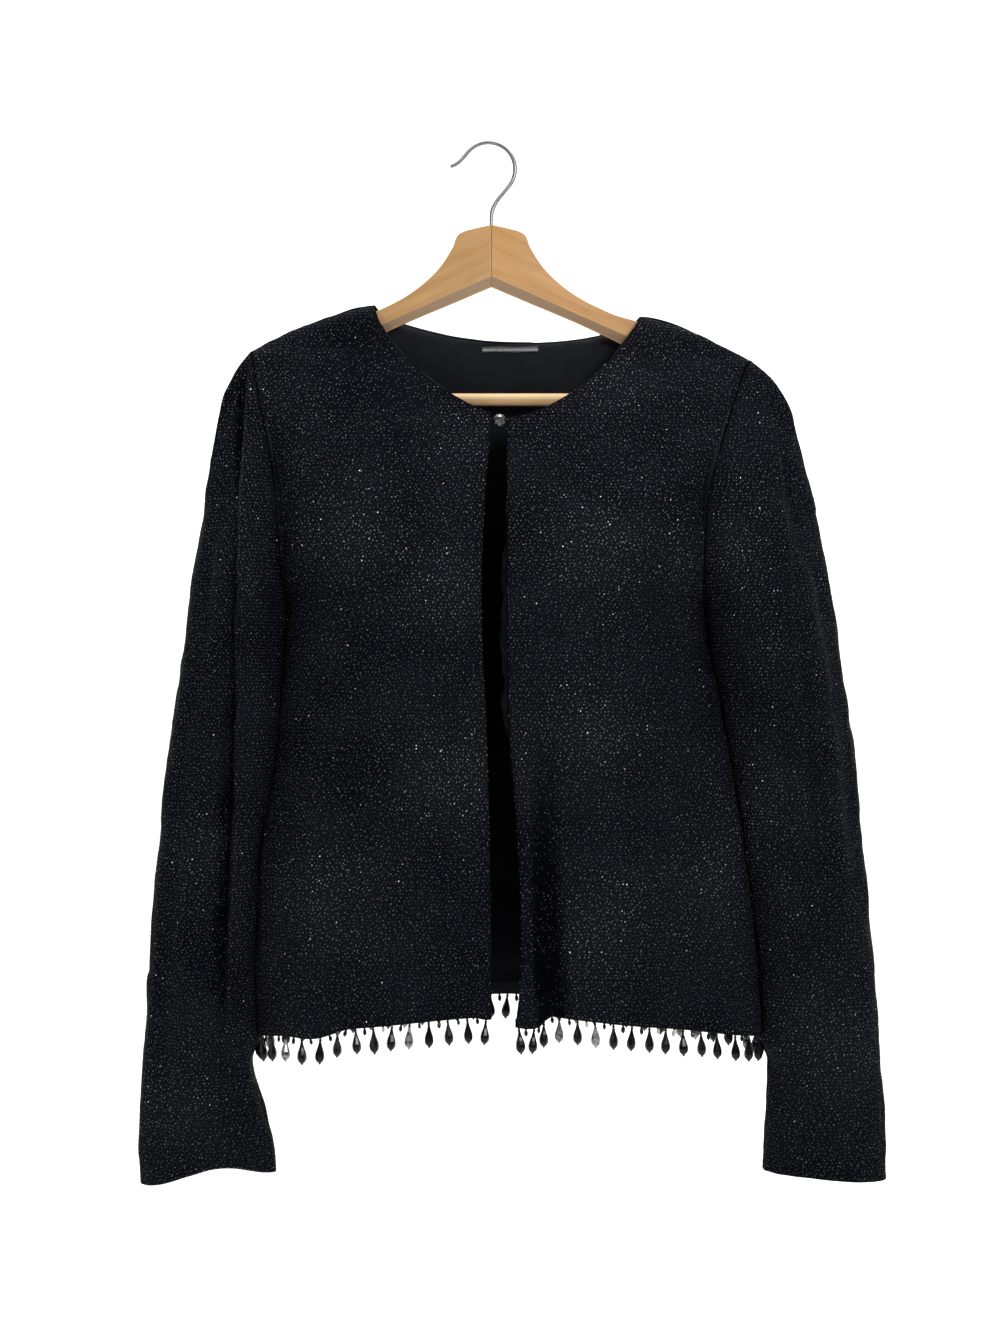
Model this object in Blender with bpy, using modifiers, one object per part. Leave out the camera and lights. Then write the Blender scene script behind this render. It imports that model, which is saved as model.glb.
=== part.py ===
"""Collarless evening jacket with a beaded hem, hanging on a wooden hanger.

Metres, +Z up. The front faces -Y and the origin is the inside top of the hanger's hook.
Right and left are the wearer's, so the right side lies at -X.
"""

import math
from collections import namedtuple

import bpy
import numpy as np

# Cloth
WALL = 0.0014
LINING_WALL = 0.0008
LAYER_GAP = 0.0008
SEAM_GAP = 0.0006
ARMHOLE_GAP = 0.0008

# Body: heights are below the hook, and the sides above the underarm come from the sleeves
BodyRow = namedtuple("BodyRow", "height right_side right_edge left_edge left_side depth")
BODY = (
    BodyRow(-0.120, -0.184, 0.000, 0.014, 0.203, 0.0115),
    BodyRow(-0.160, -0.184, 0.000, 0.014, 0.203, 0.0150),
    BodyRow(-0.208, -0.174, 0.0020, 0.0144, 0.190, 0.0255),
    BodyRow(-0.277, -0.1625, -0.0022, 0.0145, 0.168, 0.0415),
    BodyRow(-0.350, -0.1592, -0.005, 0.0148, 0.1668, 0.0490),
    BodyRow(-0.457, -0.1625, -0.001, 0.0165, 0.184, 0.0500),
    BodyRow(-0.555, -0.1766, 0.0015, 0.0235, 0.199, 0.0510),
    BodyRow(-0.652, -0.1800, 0.0028, 0.0238, 0.210, 0.0510),
    BodyRow(-0.700, -0.1780, 0.0022, 0.0172, 0.211, 0.0510),
)
FRONT_FLATNESS = 0.6
SHOULDER_ARCH_HEIGHT = 0.011
SHOULDER_CURVE = 1.4
ARCH_ANGLES = (0, 30, 56, 78, 90)

# Neck opening
FRONT_NECK_DROP = 0.086
FRONT_NECK_POWERS = {"right": (1.4, 0.63), "left": (1.6, 0.8)}
BACK_NECK_DROP = 0.022
BACK_NECK_POWERS = (2.0, 0.7)

# Hem
HEM_CENTRE_X = 0.016
HEM_HALF_WIDTH = 0.195
HEM_HEIGHT = -0.6695
HEM_SIDE_DROP = 0.021
HEM_CURVE = 1.4

# Sleeves: inner is the armhole seam above the underarm, and the sleeve's own edge below it
SleeveRow = namedtuple("SleeveRow", "height outer inner depth")
RIGHT_SLEEVE = (
    SleeveRow(-0.1610, -0.1840, -0.1840, 0.028),
    SleeveRow(-0.1750, -0.1962, -0.1810, 0.023),
    SleeveRow(-0.1910, -0.2040, -0.1780, 0.025),
    SleeveRow(-0.2300, -0.2133, -0.1695, 0.032),
    SleeveRow(-0.2770, -0.2203, -0.1625, 0.040),
    SleeveRow(-0.3240, -0.2280, -0.1600, 0.046),
    SleeveRow(-0.3500, -0.2315, -0.1592, 0.047),
    SleeveRow(-0.4200, -0.2410, -0.1660, 0.045),
    SleeveRow(-0.5000, -0.2510, -0.1745, 0.042),
    SleeveRow(-0.5600, -0.2580, -0.1815, 0.039),
    SleeveRow(-0.6400, -0.2640, -0.1850, 0.036),
    SleeveRow(-0.7200, -0.2685, -0.1812, 0.033),
    SleeveRow(-0.7800, -0.2705, -0.1668, 0.030),
    SleeveRow(-0.8200, -0.2700, -0.1636, 0.029),
)
LEFT_SLEEVE = (
    SleeveRow(-0.1680, 0.2030, 0.2030, 0.028),
    SleeveRow(-0.1820, 0.2203, 0.1960, 0.024),
    SleeveRow(-0.1960, 0.2303, 0.1915, 0.025),
    SleeveRow(-0.2300, 0.2408, 0.1800, 0.032),
    SleeveRow(-0.2770, 0.2516, 0.1680, 0.040),
    SleeveRow(-0.3240, 0.2610, 0.1655, 0.046),
    SleeveRow(-0.3550, 0.2660, 0.1668, 0.047),
    SleeveRow(-0.4200, 0.2770, 0.1795, 0.045),
    SleeveRow(-0.4800, 0.2850, 0.1935, 0.043),
    SleeveRow(-0.5400, 0.2905, 0.2020, 0.040),
    SleeveRow(-0.6000, 0.2963, 0.2095, 0.037),
    SleeveRow(-0.6600, 0.3022, 0.2160, 0.035),
    SleeveRow(-0.7200, 0.3057, 0.2175, 0.033),
    SleeveRow(-0.7850, 0.3085, 0.2138, 0.030),
    SleeveRow(-0.8200, 0.3085, 0.2125, 0.029),
)

# One row for each half of the jacket: sign is the way that side lies along X
Half = namedtuple("Half", "name sign sleeve neck_x neck_z shoulder_z underarm_z cuff_outer_z cuff_inner_z cuff_arch")
RIGHT = Half("right", -1, RIGHT_SLEEVE, -0.0885, -0.1258, -0.161, -0.350, -0.809, -0.8005, 0.012)
LEFT = Half("left", 1, LEFT_SLEEVE, 0.1180, -0.1342, -0.168, -0.355, -0.805, -0.7985, 0.0015)

# Largest folds of the body: a ridge where push is above zero, a trough where it is below
Fold = namedtuple("Fold", "panel top_x top_z bottom_x bottom_z width push")
FOLDS = (
    Fold("right_front", -0.062, -0.300, -0.080, -0.720, 0.026, 0.0045),
    Fold("right_front", -0.098, -0.380, -0.112, -0.720, 0.018, -0.0020),
    Fold("right_front", -0.128, -0.430, -0.146, -0.720, 0.020, 0.0070),
    Fold("left_front", 0.026, -0.430, 0.030, -0.720, 0.007, 0.0050),
    Fold("left_front", 0.036, -0.440, 0.050, -0.720, 0.010, -0.0048),
    Fold("left_front", 0.095, -0.330, 0.104, -0.720, 0.028, 0.0045),
    Fold("left_front", 0.142, -0.420, 0.160, -0.720, 0.020, -0.0050),
    Fold("back", -0.105, -0.340, -0.112, -0.720, 0.024, 0.0060),
    Fold("back", -0.060, -0.400, -0.055, -0.720, 0.020, -0.0050),
    Fold("back", 0.085, -0.320, 0.096, -0.720, 0.026, 0.0065),
    Fold("back", 0.140, -0.430, 0.150, -0.720, 0.018, -0.0050),
)
FOLD_FADE = 0.090

# Long fold down each sleeve, by its angle from the outer edge towards the front
SleeveFold = namedtuple("SleeveFold", "sleeve angle width top_z bottom_z push")
SLEEVE_FOLDS = (
    SleeveFold("right", 84, 17, -0.190, -0.790, 0.0045),
    SleeveFold("right", 52, 15, -0.210, -0.760, -0.0035),
    SleeveFold("right", -95, 22, -0.300, -0.790, -0.0050),
    SleeveFold("left", 66, 17, -0.200, -0.640, 0.0045),
    SleeveFold("left", 36, 15, -0.220, -0.620, -0.0035),
    SleeveFold("left", -100, 22, -0.300, -0.790, -0.0050),
)

# Mesh stations: the first shares of a front are close enough for the folds along its edge
EDGE_SHARES = {"right": (0.0, 0.10), "left": (0.0, 0.045, 0.085, 0.13, 0.18)}
NECK_CORNER_SHARE = 0.965
FRONT_COLUMNS = 11
BACK_HALF_COLUMNS = 10
BODY_ROWS = 16
SLEEVE_RINGS = 20
SLEEVE_SIDES = 18
SLEEVE_RING_CROWDING = 1.25
CUFF_ARCH_POWER = 3
HEM_SAMPLES = 60
SETTLE_STEPS = 12
TINY = 1e-6

# Beaded hem: drops and short strands take turns along a narrow backing strip
STRIP_GAP = 0.0008
STRIP_HEIGHT = 0.0024
STRIP_THICKNESS = 0.0013
ROOT_WIDTH = 0.0018
STRAND_PITCH = 0.0068
STRAND_END_MARGIN = 0.004
TANGENT_STEP = 0.002
StrandRing = namedtuple("StrandRing", "below width")
DROP_RINGS = (StrandRing(0.0062, 0.0018), StrandRing(0.0160, 0.0068))
DROP_LENGTH = 0.0215
SHORT_RINGS = (StrandRing(0.0062, 0.0026),)
SHORT_LENGTH = 0.0090

# Lining, facing and label
LINING_ACROSS = 0.66
LINING_SHOULDER_DROP = 0.022
LINING_NECK_DROP = 0.0012
FACING_TOP = -0.285
FACING_BOTTOM = -0.505
FACING_SHOW = 0.0065
FACING_LEAST_SHOW = 0.0004
FACING_SHOW_FADE = 0.05
FACING_WAVES = 110
FACING_SHOW_TOP = -0.300
FACING_SHOW_BOTTOM = -0.480
FACING_ROWS = 14
LABEL_X = (-0.005, 0.039)
LABEL_TOP = -0.1560
LABEL_HEIGHT = 0.0042
LABEL_WALL = 0.0005

# Button and its loop
BUTTON_RADIUS = 0.0054
BUTTON_Z = -0.2190
BUTTON_CLEARANCE = 0.0003
LOOP_RADIUS = 0.0006
LOOP_HALF_SPREAD = 0.0026
LOOP_STEPS = 12
LOOP_DIVE = 1.6

# Hanger
HANGER_X = 0.0024
ARM_THICKNESS = 0.011
ARM_EDGE_ROUNDING = 0.003
MITRE_GAP = 0.0003
ArmPoint = namedtuple("ArmPoint", "out height corner")
ARM_OUTLINE = (
    ArmPoint(0.0000, -0.0635, True),
    ArmPoint(0.0130, -0.0664, False),
    ArmPoint(0.0236, -0.0697, False),
    ArmPoint(0.0266, -0.0722, False),
    ArmPoint(0.0304, -0.0815, False),
    ArmPoint(0.0490, -0.1058, False),
    ArmPoint(0.0900, -0.1312, False),
    ArmPoint(0.1130, -0.1385, False),
    ArmPoint(0.1300, -0.1428, False),
    ArmPoint(0.1560, -0.1510, False),
    ArmPoint(0.1710, -0.1580, False),
    ArmPoint(0.1770, -0.1700, False),
    ArmPoint(0.1770, -0.2000, False),
    ArmPoint(0.1700, -0.2075, False),
    ArmPoint(0.1610, -0.2065, True),
    ArmPoint(0.1610, -0.1900, True),
    ArmPoint(0.1400, -0.1770, False),
    ArmPoint(0.0830, -0.1470, False),
    ArmPoint(0.0235, -0.1213, False),
    ArmPoint(0.0000, -0.1113, True),
)
BAR_RADIUS = 0.0049
BAR_Z = -0.1990
BAR_REACH = 0.1606
WIRE_RADIUS = 0.00165
HOOK_RADIUS = 0.02085
HOOK_STEM_FOOT_Z = -0.0631
HOOK_STEM_TOP_Z = -0.0490
HOOK_ARC_START = -38
HOOK_ARC_END = 146
HOOK_ARC_STEPS = 18
HOOK_TIP_OUT = 0.0125
HOOK_TIP_DROP = 0.0095

Finish = namedtuple("Finish", "colour roughness metallic")
FINISHES = {
    "glitter_cloth": Finish((0.012, 0.012, 0.013), 0.62, 0.0),
    "lining_cloth": Finish((0.030, 0.031, 0.034), 0.55, 0.0),
    "label_satin": Finish((0.42, 0.42, 0.43), 0.45, 0.0),
    "black_glass": Finish((0.008, 0.008, 0.010), 0.08, 0.0),
    "light_wood": Finish((0.62, 0.40, 0.22), 0.42, 0.0),
    "steel_wire": Finish((0.50, 0.51, 0.53), 0.28, 1.0),
}


def clear_scene():
    for old in list(bpy.data.objects):
        bpy.data.objects.remove(old)


def finish_material(name):
    found = bpy.data.materials.get(name)
    if found:
        return found
    material = bpy.data.materials.new(name)
    material.use_nodes = True
    shader = material.node_tree.nodes["Principled BSDF"]
    finish = FINISHES[name]
    shader.inputs["Base Color"].default_value = (*finish.colour, 1)
    shader.inputs["Roughness"].default_value = finish.roughness
    shader.inputs["Metallic"].default_value = finish.metallic
    return material


def add_part(name, data, finish):
    part = bpy.data.objects.new(name, data)
    part.data.materials.append(finish_material(finish))
    bpy.data.collections["evening_jacket"].objects.link(part)
    return part


def along(rows, column, height):
    """A column of a table read at a height, on a smooth curve through its rows."""
    heights = np.array([row.height for row in reversed(rows)])
    values = np.array([getattr(row, column) for row in reversed(rows)])
    slopes = np.gradient(values, heights)
    height = min(max(height, heights[0]), heights[-1])
    low = min(max(int(np.searchsorted(heights, height)) - 1, 0), len(rows) - 2)
    span = heights[low + 1] - heights[low]
    t = (height - heights[low]) / span
    ease = t * t * (3 - 2 * t)
    lift = slopes[low] * t * (1 - t) ** 2 - slopes[low + 1] * t * t * (1 - t)
    return values[low] + (values[low + 1] - values[low]) * ease + span * lift


def smooth_step(value):
    value = min(max(value, 0.0), 1.0)
    return value * value * (3 - 2 * value)


def fold_push(panel, x, height):
    """How far the panel's folds push a point out of its plain surface."""
    push = 0.0
    for fold in FOLDS:
        if fold.panel != panel or height > fold.top_z:
            continue
        share = (fold.top_z - height) / (fold.top_z - fold.bottom_z)
        middle = fold.top_x + (fold.bottom_x - fold.top_x) * share
        fade = smooth_step((fold.top_z - height) / FOLD_FADE)
        push += fold.push * fade * math.exp(-(((x - middle) / fold.width) ** 2))
    return push


def armhole_angle(half, height):
    """The angle round the sleeve, from its outer edge, where the armhole seam crosses this height."""
    share = (height - half.underarm_z) / (half.shoulder_z - half.underarm_z)
    return math.acos(2 * min(max(share, 0.0), 1.0) - 1)


def side_x(half, height):
    """The armhole seam above the underarm, and the side seam below it."""
    if height >= half.underarm_z:
        return along(half.sleeve, "inner", height)
    return along(BODY, half.name + "_side", height)


def shoulder_x(half):
    return half.sleeve[0].outer


def shoulder_line(half, x):
    """Height of the shoulder seam, which is carried on upwards inside the neck."""
    share = (x - half.neck_x) / (shoulder_x(half) - half.neck_x)
    if share < 0:
        return half.neck_z + abs(x - half.neck_x)
    return half.neck_z + (half.shoulder_z - half.neck_z) * min(share, 1.0) ** SHOULDER_CURVE


def neck_line(x, drop, powers):
    """Height of a neck edge whose ends are the two neck points."""
    share = (x - RIGHT.neck_x) / (LEFT.neck_x - RIGHT.neck_x)
    across = min(abs(2 * share - 1), 1.0)
    level = RIGHT.neck_z + (LEFT.neck_z - RIGHT.neck_z) * share
    return level - drop * (1 - across ** powers[0]) ** powers[1]


def top_line(half, x, drop, powers):
    inside_neck = (x - half.neck_x) * half.sign < 0
    return neck_line(x, drop, powers) if inside_neck else shoulder_line(half, x)


def hem_line(x):
    return HEM_HEIGHT - HEM_SIDE_DROP * (abs(x - HEM_CENTRE_X) / HEM_HALF_WIDTH) ** HEM_CURVE


def panel_x(half, start, across, height):
    return start + (side_x(half, height) - start) * math.sin(across * math.pi / 2)


def front_edge(half, height):
    return along(BODY, half.name + "_edge", height)


def back_middle(height):
    return (front_edge(RIGHT, height) + front_edge(LEFT, height)) / 2


def panel_depth(half, across, x, height):
    """Distance of a panel from the mid plane, arched over the hanger's arm at the shoulder seam."""
    below_seam = max(shoulder_line(half, x) - height, 0.0)
    arch_share = min(below_seam / SHOULDER_ARCH_HEIGHT, 1.0)
    arch = math.sqrt(1 - (1 - arch_share) ** 2)
    middle = along(BODY, "depth", height) * arch
    seam = along(half.sleeve, "depth", height) * math.sin(armhole_angle(half, height))
    seam = min(seam, middle)
    depth = seam + (middle - seam) * math.cos(across * math.pi / 2) ** FRONT_FLATNESS
    return max(depth, SEAM_GAP / 2)


def front_point(half, across, height):
    x = panel_x(half, front_edge(half, height), across, height)
    depth = panel_depth(half, abs(across), x, height)
    fade = math.cos(min(abs(across), 1.0) * math.pi / 2)
    return x, -depth - fade * fold_push(half.name + "_front", x, height), height


def back_point(half, across, height):
    x = panel_x(half, back_middle(height), across, height)
    depth = panel_depth(half, across, x, height)
    fade = math.cos(across * math.pi / 2)
    return x, depth + fade * fold_push("back", x, height), height


def settled_height(column_x, line, height):
    """Height where a panel's column meets a line that is given by its x."""
    for _ in range(SETTLE_STEPS):
        height = line(column_x(height))
    return height


def column_heights(hem, top):
    plain = np.linspace(hem, top - SHOULDER_ARCH_HEIGHT, BODY_ROWS)
    arch = [top - SHOULDER_ARCH_HEIGHT * (1 - math.sin(math.radians(a))) for a in ARCH_ANGLES[1:]]
    return [*plain, *arch]


def neck_share(half, start):
    """The share across a panel at which its column ends on the neck point."""
    reach = (half.neck_x - start) / (side_x(half, half.neck_z) - start)
    return math.asin(reach) * 2 / math.pi


def panel_shares(half, start, first, columns):
    """Shares across a panel, with columns on the neck point and beside it so that its corner stays sharp."""
    neck = neck_share(half, start)
    inside = max(round(columns * neck), 2)
    corner = neck * NECK_CORNER_SHARE
    to_corner = np.linspace(first[-1], corner, inside)
    return [*first[:-1], *to_corner, *np.linspace(neck, 1, columns - inside)]


def front_line(half):
    return lambda x: top_line(half, x, FRONT_NECK_DROP, FRONT_NECK_POWERS[half.name])


def back_line(half):
    return lambda x: top_line(half, x, BACK_NECK_DROP, BACK_NECK_POWERS)


def front_column_x(half, across):
    return lambda height: panel_x(half, front_edge(half, height), across, height)


def back_column_x(half, across):
    return lambda height: panel_x(half, back_middle(height), across, height)


def front_grid(half):
    grid = []
    start = front_edge(half, half.neck_z)
    for across in panel_shares(half, start, EDGE_SHARES[half.name], FRONT_COLUMNS):
        column_x = front_column_x(half, across)
        hem = settled_height(column_x, hem_line, HEM_HEIGHT)
        top = settled_height(column_x, front_line(half), half.neck_z)
        grid.append([front_point(half, across, height) for height in column_heights(hem, top)])
    return grid


def back_columns():
    """Half and share across it for each column of the back, from the right side to the left."""
    start = back_middle(RIGHT.neck_z)
    right = [(RIGHT, share) for share in panel_shares(RIGHT, start, (0.0,), BACK_HALF_COLUMNS)]
    left = [(LEFT, share) for share in panel_shares(LEFT, start, (0.0,), BACK_HALF_COLUMNS)]
    return right[:0:-1] + left


def back_grid():
    grid = []
    for half, across in back_columns():
        column_x = back_column_x(half, across)
        hem = settled_height(column_x, hem_line, HEM_HEIGHT)
        top = settled_height(column_x, back_line(half), half.neck_z)
        grid.append([back_point(half, across, height) for height in column_heights(hem, top)])
    return grid


def lining_grid():
    grid = []
    for half, across in back_columns():
        if across > LINING_ACROSS:
            continue
        column_x = back_column_x(half, across)
        hem = settled_height(column_x, hem_line, HEM_HEIGHT)
        top = settled_height(column_x, back_line(half), half.neck_z)
        under_seam = shoulder_line(half, column_x(top)) - LINING_SHOULDER_DROP
        plain = column_heights(hem, top)[1 : BODY_ROWS - 1]
        last = np.linspace(plain[-1], min(top - LINING_NECK_DROP, under_seam), 4)[1:]
        grid.append([back_point(half, across, height) for height in (*plain, *last)])
    return grid


def moved_in(grid, distance):
    """A grid of points moved towards the inside of the garment, square to its surface."""
    points = np.array(grid)
    normals = np.cross(np.gradient(points, axis=0), np.gradient(points, axis=1))
    normals /= np.linalg.norm(normals, axis=2, keepdims=True)
    outward = np.sign(np.median((normals * points)[..., 1]))
    return points - outward * distance * normals


def add_cloth(name, grid, wall, finish, outward, wraps=False):
    """A sheet through a grid of points, given its wall on the inner side; outward is any point outside."""
    points = np.array(grid)
    columns, rows = points.shape[:2]
    faces = []
    for column in range(columns if wraps else columns - 1):
        after = (column + 1) % columns
        for row in range(rows - 1):
            corners = (column, row), (after, row), (after, row + 1), (column, row + 1)
            faces.append([c * rows + r for c, r in corners])
    sheet = bpy.data.meshes.new(name)
    sheet.from_pydata(points.reshape(-1, 3).tolist(), [], faces)
    sheet.update()
    middle = sheet.polygons[len(faces) // 2]
    if middle.normal.dot(outward - middle.center) < 0:
        sheet.flip_normals()
    sheet.shade_smooth()
    part = add_part(name, sheet, finish)
    solidify = part.modifiers.new("wall", "SOLIDIFY")
    solidify.thickness = wall
    solidify.offset = -1
    return part


def sleeve_point(half, angle, height):
    """A point of a sleeve; the angle runs from the outer edge, over the front, to the inner edge."""
    outer = along(half.sleeve, "outer", height)
    inner = along(half.sleeve, "inner", height)
    open_cosine = math.cos(armhole_angle(half, height))
    reach = (math.cos(angle) - open_cosine) / max(1 - open_cosine, TINY)
    depth = along(half.sleeve, "depth", height) * math.sin(angle)
    push = 0.0
    for fold in SLEEVE_FOLDS:
        if fold.sleeve == half.name and fold.bottom_z < height < fold.top_z:
            near_end = min(fold.top_z - height, height - fold.bottom_z)
            turn = (math.degrees(angle) - fold.angle) / fold.width
            push += fold.push * smooth_step(near_end / FOLD_FADE) * math.exp(-turn * turn)
    x = inner + (outer - inner) * reach + half.sign * (ARMHOLE_GAP + push * math.cos(angle))
    return x, -depth - push * math.sin(angle), height


def sleeve_grid(half):
    grid = []
    for step in range(SLEEVE_SIDES):
        angle = math.radians(-180 + 360 * step / SLEEVE_SIDES)
        outer_share = (1 + math.cos(angle)) / 2
        top = half.underarm_z + (half.shoulder_z - half.underarm_z) * outer_share
        cuff = half.cuff_inner_z + (half.cuff_outer_z - half.cuff_inner_z) * outer_share
        cuff += half.cuff_arch * abs(math.sin(angle)) ** CUFF_ARCH_POWER
        shares = np.linspace(0, 1, SLEEVE_RINGS) ** SLEEVE_RING_CROWDING
        grid.append([sleeve_point(half, angle, top + (cuff - top) * share) for share in shares])
    return grid


def add_body():
    outside_front = np.array((0.0, -1.0, -0.4))
    for half in (RIGHT, LEFT):
        add_cloth(half.name + "_front", front_grid(half), WALL, "glitter_cloth", outside_front)
    add_cloth("back", back_grid(), WALL, "glitter_cloth", -outside_front)


def add_sleeves():
    for half in (RIGHT, LEFT):
        outside = np.array((half.sign * 0.25, -1.0, -0.6))
        add_cloth(half.name + "_sleeve", sleeve_grid(half), WALL, "glitter_cloth", outside, wraps=True)


def facing_grid():
    """The facing of the left front, whose wavy edge peeps past the front edge along its middle."""
    heights = np.linspace(FACING_BOTTOM, FACING_TOP, FACING_ROWS)
    peep = []
    for height in heights:
        from_ends = min(FACING_SHOW_TOP - height, height - FACING_SHOW_BOTTOM)
        waves = 0.75 + 0.25 * math.sin(height * FACING_WAVES)
        show = FACING_LEAST_SHOW + FACING_SHOW * waves * smooth_step(from_ends / FACING_SHOW_FADE)
        width = side_x(LEFT, height) - front_edge(LEFT, height)
        peep.append(front_point(LEFT, -math.asin(show / width) * 2 / math.pi, height))
    inside = [[front_point(LEFT, share, height) for height in heights] for share in EDGE_SHARES["left"][:3]]
    return [peep, *inside]


def add_lining():
    inside_depth = WALL + LAYER_GAP
    lining = moved_in(lining_grid(), inside_depth)
    add_cloth("back_lining", lining, LINING_WALL, "lining_cloth", np.array((0.0, 1.0, -0.4)))
    facing = moved_in(facing_grid(), inside_depth)
    add_cloth("left_front_facing", facing, LINING_WALL, "lining_cloth", np.array((0.0, -1.0, -0.4)))


def add_label():
    """A plain strip on the lining, just under the back neck edge."""
    start = back_middle(LABEL_TOP)
    grid = []
    for x in np.linspace(*LABEL_X, 5):
        half = RIGHT if x < start else LEFT
        across = math.asin((x - start) / (side_x(half, LABEL_TOP) - start)) * 2 / math.pi
        grid.append([back_point(half, across, z) for z in (LABEL_TOP - LABEL_HEIGHT, LABEL_TOP)])
    strip = moved_in(grid, WALL + LINING_WALL + 2 * LAYER_GAP)
    add_cloth("neck_label", strip, LABEL_WALL, "label_satin", np.array((0.0, 1.0, -0.15)))


def hem_path(columns, point, column_x):
    """Points along a panel's outer face at its hem, close enough to follow its folds."""
    path = []
    for half, across in columns:
        height = settled_height(column_x(half, across), hem_line, HEM_HEIGHT)
        path.append(point(half, across, height))
    return np.array(path)


def add_fringe(name, path):
    """A backing strip under the hem with drops and short strands growing out of its lower side."""
    steps = np.linalg.norm(np.diff(path, axis=0), axis=1)
    run = np.concatenate([[0], np.cumsum(steps)])
    count = int((run[-1] - 2 * STRAND_END_MARGIN) / STRAND_PITCH) // 2 * 2 + 1
    places = np.linspace(STRAND_END_MARGIN, run[-1] - STRAND_END_MARGIN, count)
    stations = [STRAND_END_MARGIN / 4]
    for place in places:
        stations += [place - ROOT_WIDTH / 2, place + ROOT_WIDTH / 2]
    stations.append(run[-1] - STRAND_END_MARGIN / 4)

    def on_path(distance):
        return np.array([np.interp(distance, run, path[:, axis]) for axis in range(3)])

    def frame_at(distance):
        ahead = on_path(min(distance + TANGENT_STEP, run[-1])) - on_path(max(distance - TANGENT_STEP, 0))
        ahead[2] = 0
        ahead /= np.linalg.norm(ahead)
        return ahead, np.array((-ahead[1], ahead[0], 0))

    inward_sign = -1 if path[len(path) // 2][1] > 0 else 1
    points = []
    faces = []
    for station in stations:
        ahead, square = frame_at(station)
        inward = square * (inward_sign if square[1] > 0 else -inward_sign)
        face_out = on_path(station) + inward * (WALL - STRIP_THICKNESS) / 2 - (0, 0, STRIP_GAP)
        face_in = face_out + inward * STRIP_THICKNESS
        drop = np.array((0, 0, STRIP_HEIGHT))
        points += [face_out, face_in, face_in - drop, face_out - drop]
    last = len(stations) - 1
    faces.append((0, 1, 2, 3))
    faces.append(tuple(4 * last + corner for corner in (3, 2, 1, 0)))
    for section in range(last):
        here = 4 * section
        there = here + 4
        for corner in range(4):
            after = (corner + 1) % 4
            grows_strand = corner == 2 and section % 2 == 1
            if not grows_strand:
                faces.append((here + corner, there + corner, there + after, here + after))
    for index, place in enumerate(places):
        root = 4 * (2 * index + 1)
        ring = [root + 3, root + 2, root + 6, root + 7]
        long_drop = index % 2 == 0
        ahead, square = frame_at(place)
        middle = sum(points[corner] for corner in ring) / 4
        for level in DROP_RINGS if long_drop else SHORT_RINGS:
            centre = middle - (0, 0, level.below - STRIP_HEIGHT)
            side = ahead * level.width / 2
            out = points[ring[1]] - points[ring[0]]
            out = out / np.linalg.norm(out) * level.width / 2
            first = len(points)
            points += [centre - side - out, centre - side + out, centre + side + out, centre + side - out]
            new_ring = [first, first + 1, first + 2, first + 3]
            for corner in range(4):
                after = (corner + 1) % 4
                faces.append((ring[corner], ring[after], new_ring[after], new_ring[corner]))
            ring = new_ring
        length = DROP_LENGTH if long_drop else SHORT_LENGTH
        points.append(middle - (0, 0, length - STRIP_HEIGHT))
        tip = len(points) - 1
        for corner in range(4):
            faces.append((ring[corner], ring[(corner + 1) % 4], tip))
    strands = bpy.data.meshes.new(name)
    strands.from_pydata([tuple(point) for point in points], [], faces)
    strands.update()
    tip_face = strands.polygons[len(faces) - 1]
    if tip_face.normal.z > 0:
        strands.flip_normals()
    add_part(name, strands, "black_glass")


def add_fringes():
    fine = np.linspace(0, 1, HEM_SAMPLES)
    for half in (RIGHT, LEFT):
        columns = [(half, across) for across in fine]
        add_fringe(half.name + "_front_fringe", hem_path(columns, front_point, front_column_x))
    columns = [(RIGHT, across) for across in fine[:0:-1]] + [(LEFT, across) for across in fine]
    add_fringe("back_fringe", hem_path(columns, back_point, back_column_x))


def wire_curve(name, route, radius, finish):
    curve = bpy.data.curves.new(name, "CURVE")
    curve.dimensions = "3D"
    curve.bevel_depth = radius
    curve.bevel_resolution = 2
    curve.use_fill_caps = True
    spline = curve.splines.new("POLY")
    spline.points.add(len(route) - 1)
    for point, place in zip(spline.points, route):
        point.co = (*place, 1)
    return add_part(name, curve, finish)


def add_button():
    """A faceted ball on the edge of the left front, held by a loop from the right front."""
    edge = front_edge(LEFT, BUTTON_Z)
    depth = front_point(LEFT, 0, BUTTON_Z)[1]
    centre = np.array((edge - BUTTON_RADIUS - BUTTON_CLEARANCE, depth, BUTTON_Z))
    bpy.ops.mesh.primitive_uv_sphere_add(segments=12, ring_count=7, radius=BUTTON_RADIUS, location=centre)
    ball = bpy.context.object
    ball.name = "neck_button"
    ball.data.materials.append(finish_material("black_glass"))
    for collection in list(ball.users_collection):
        collection.objects.unlink(ball)
    bpy.data.collections["evening_jacket"].objects.link(ball)

    behind = depth + BUTTON_RADIUS + LOOP_RADIUS + BUTTON_CLEARANCE
    start = front_edge(RIGHT, BUTTON_Z) + LOOP_RADIUS
    route = []
    for step in range(LOOP_STEPS + 1):
        turn = math.pi * (step / LOOP_STEPS - 0.5)
        x = start + (centre[0] - start) * math.cos(turn)
        y = depth + WALL / 2 + (behind - depth - WALL / 2) * smooth_step(math.cos(turn) * LOOP_DIVE)
        route.append((x, y, BUTTON_Z + LOOP_HALF_SPREAD * math.sin(turn)))
    wire_curve("button_loop", route, LOOP_RADIUS, "black_glass")


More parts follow.
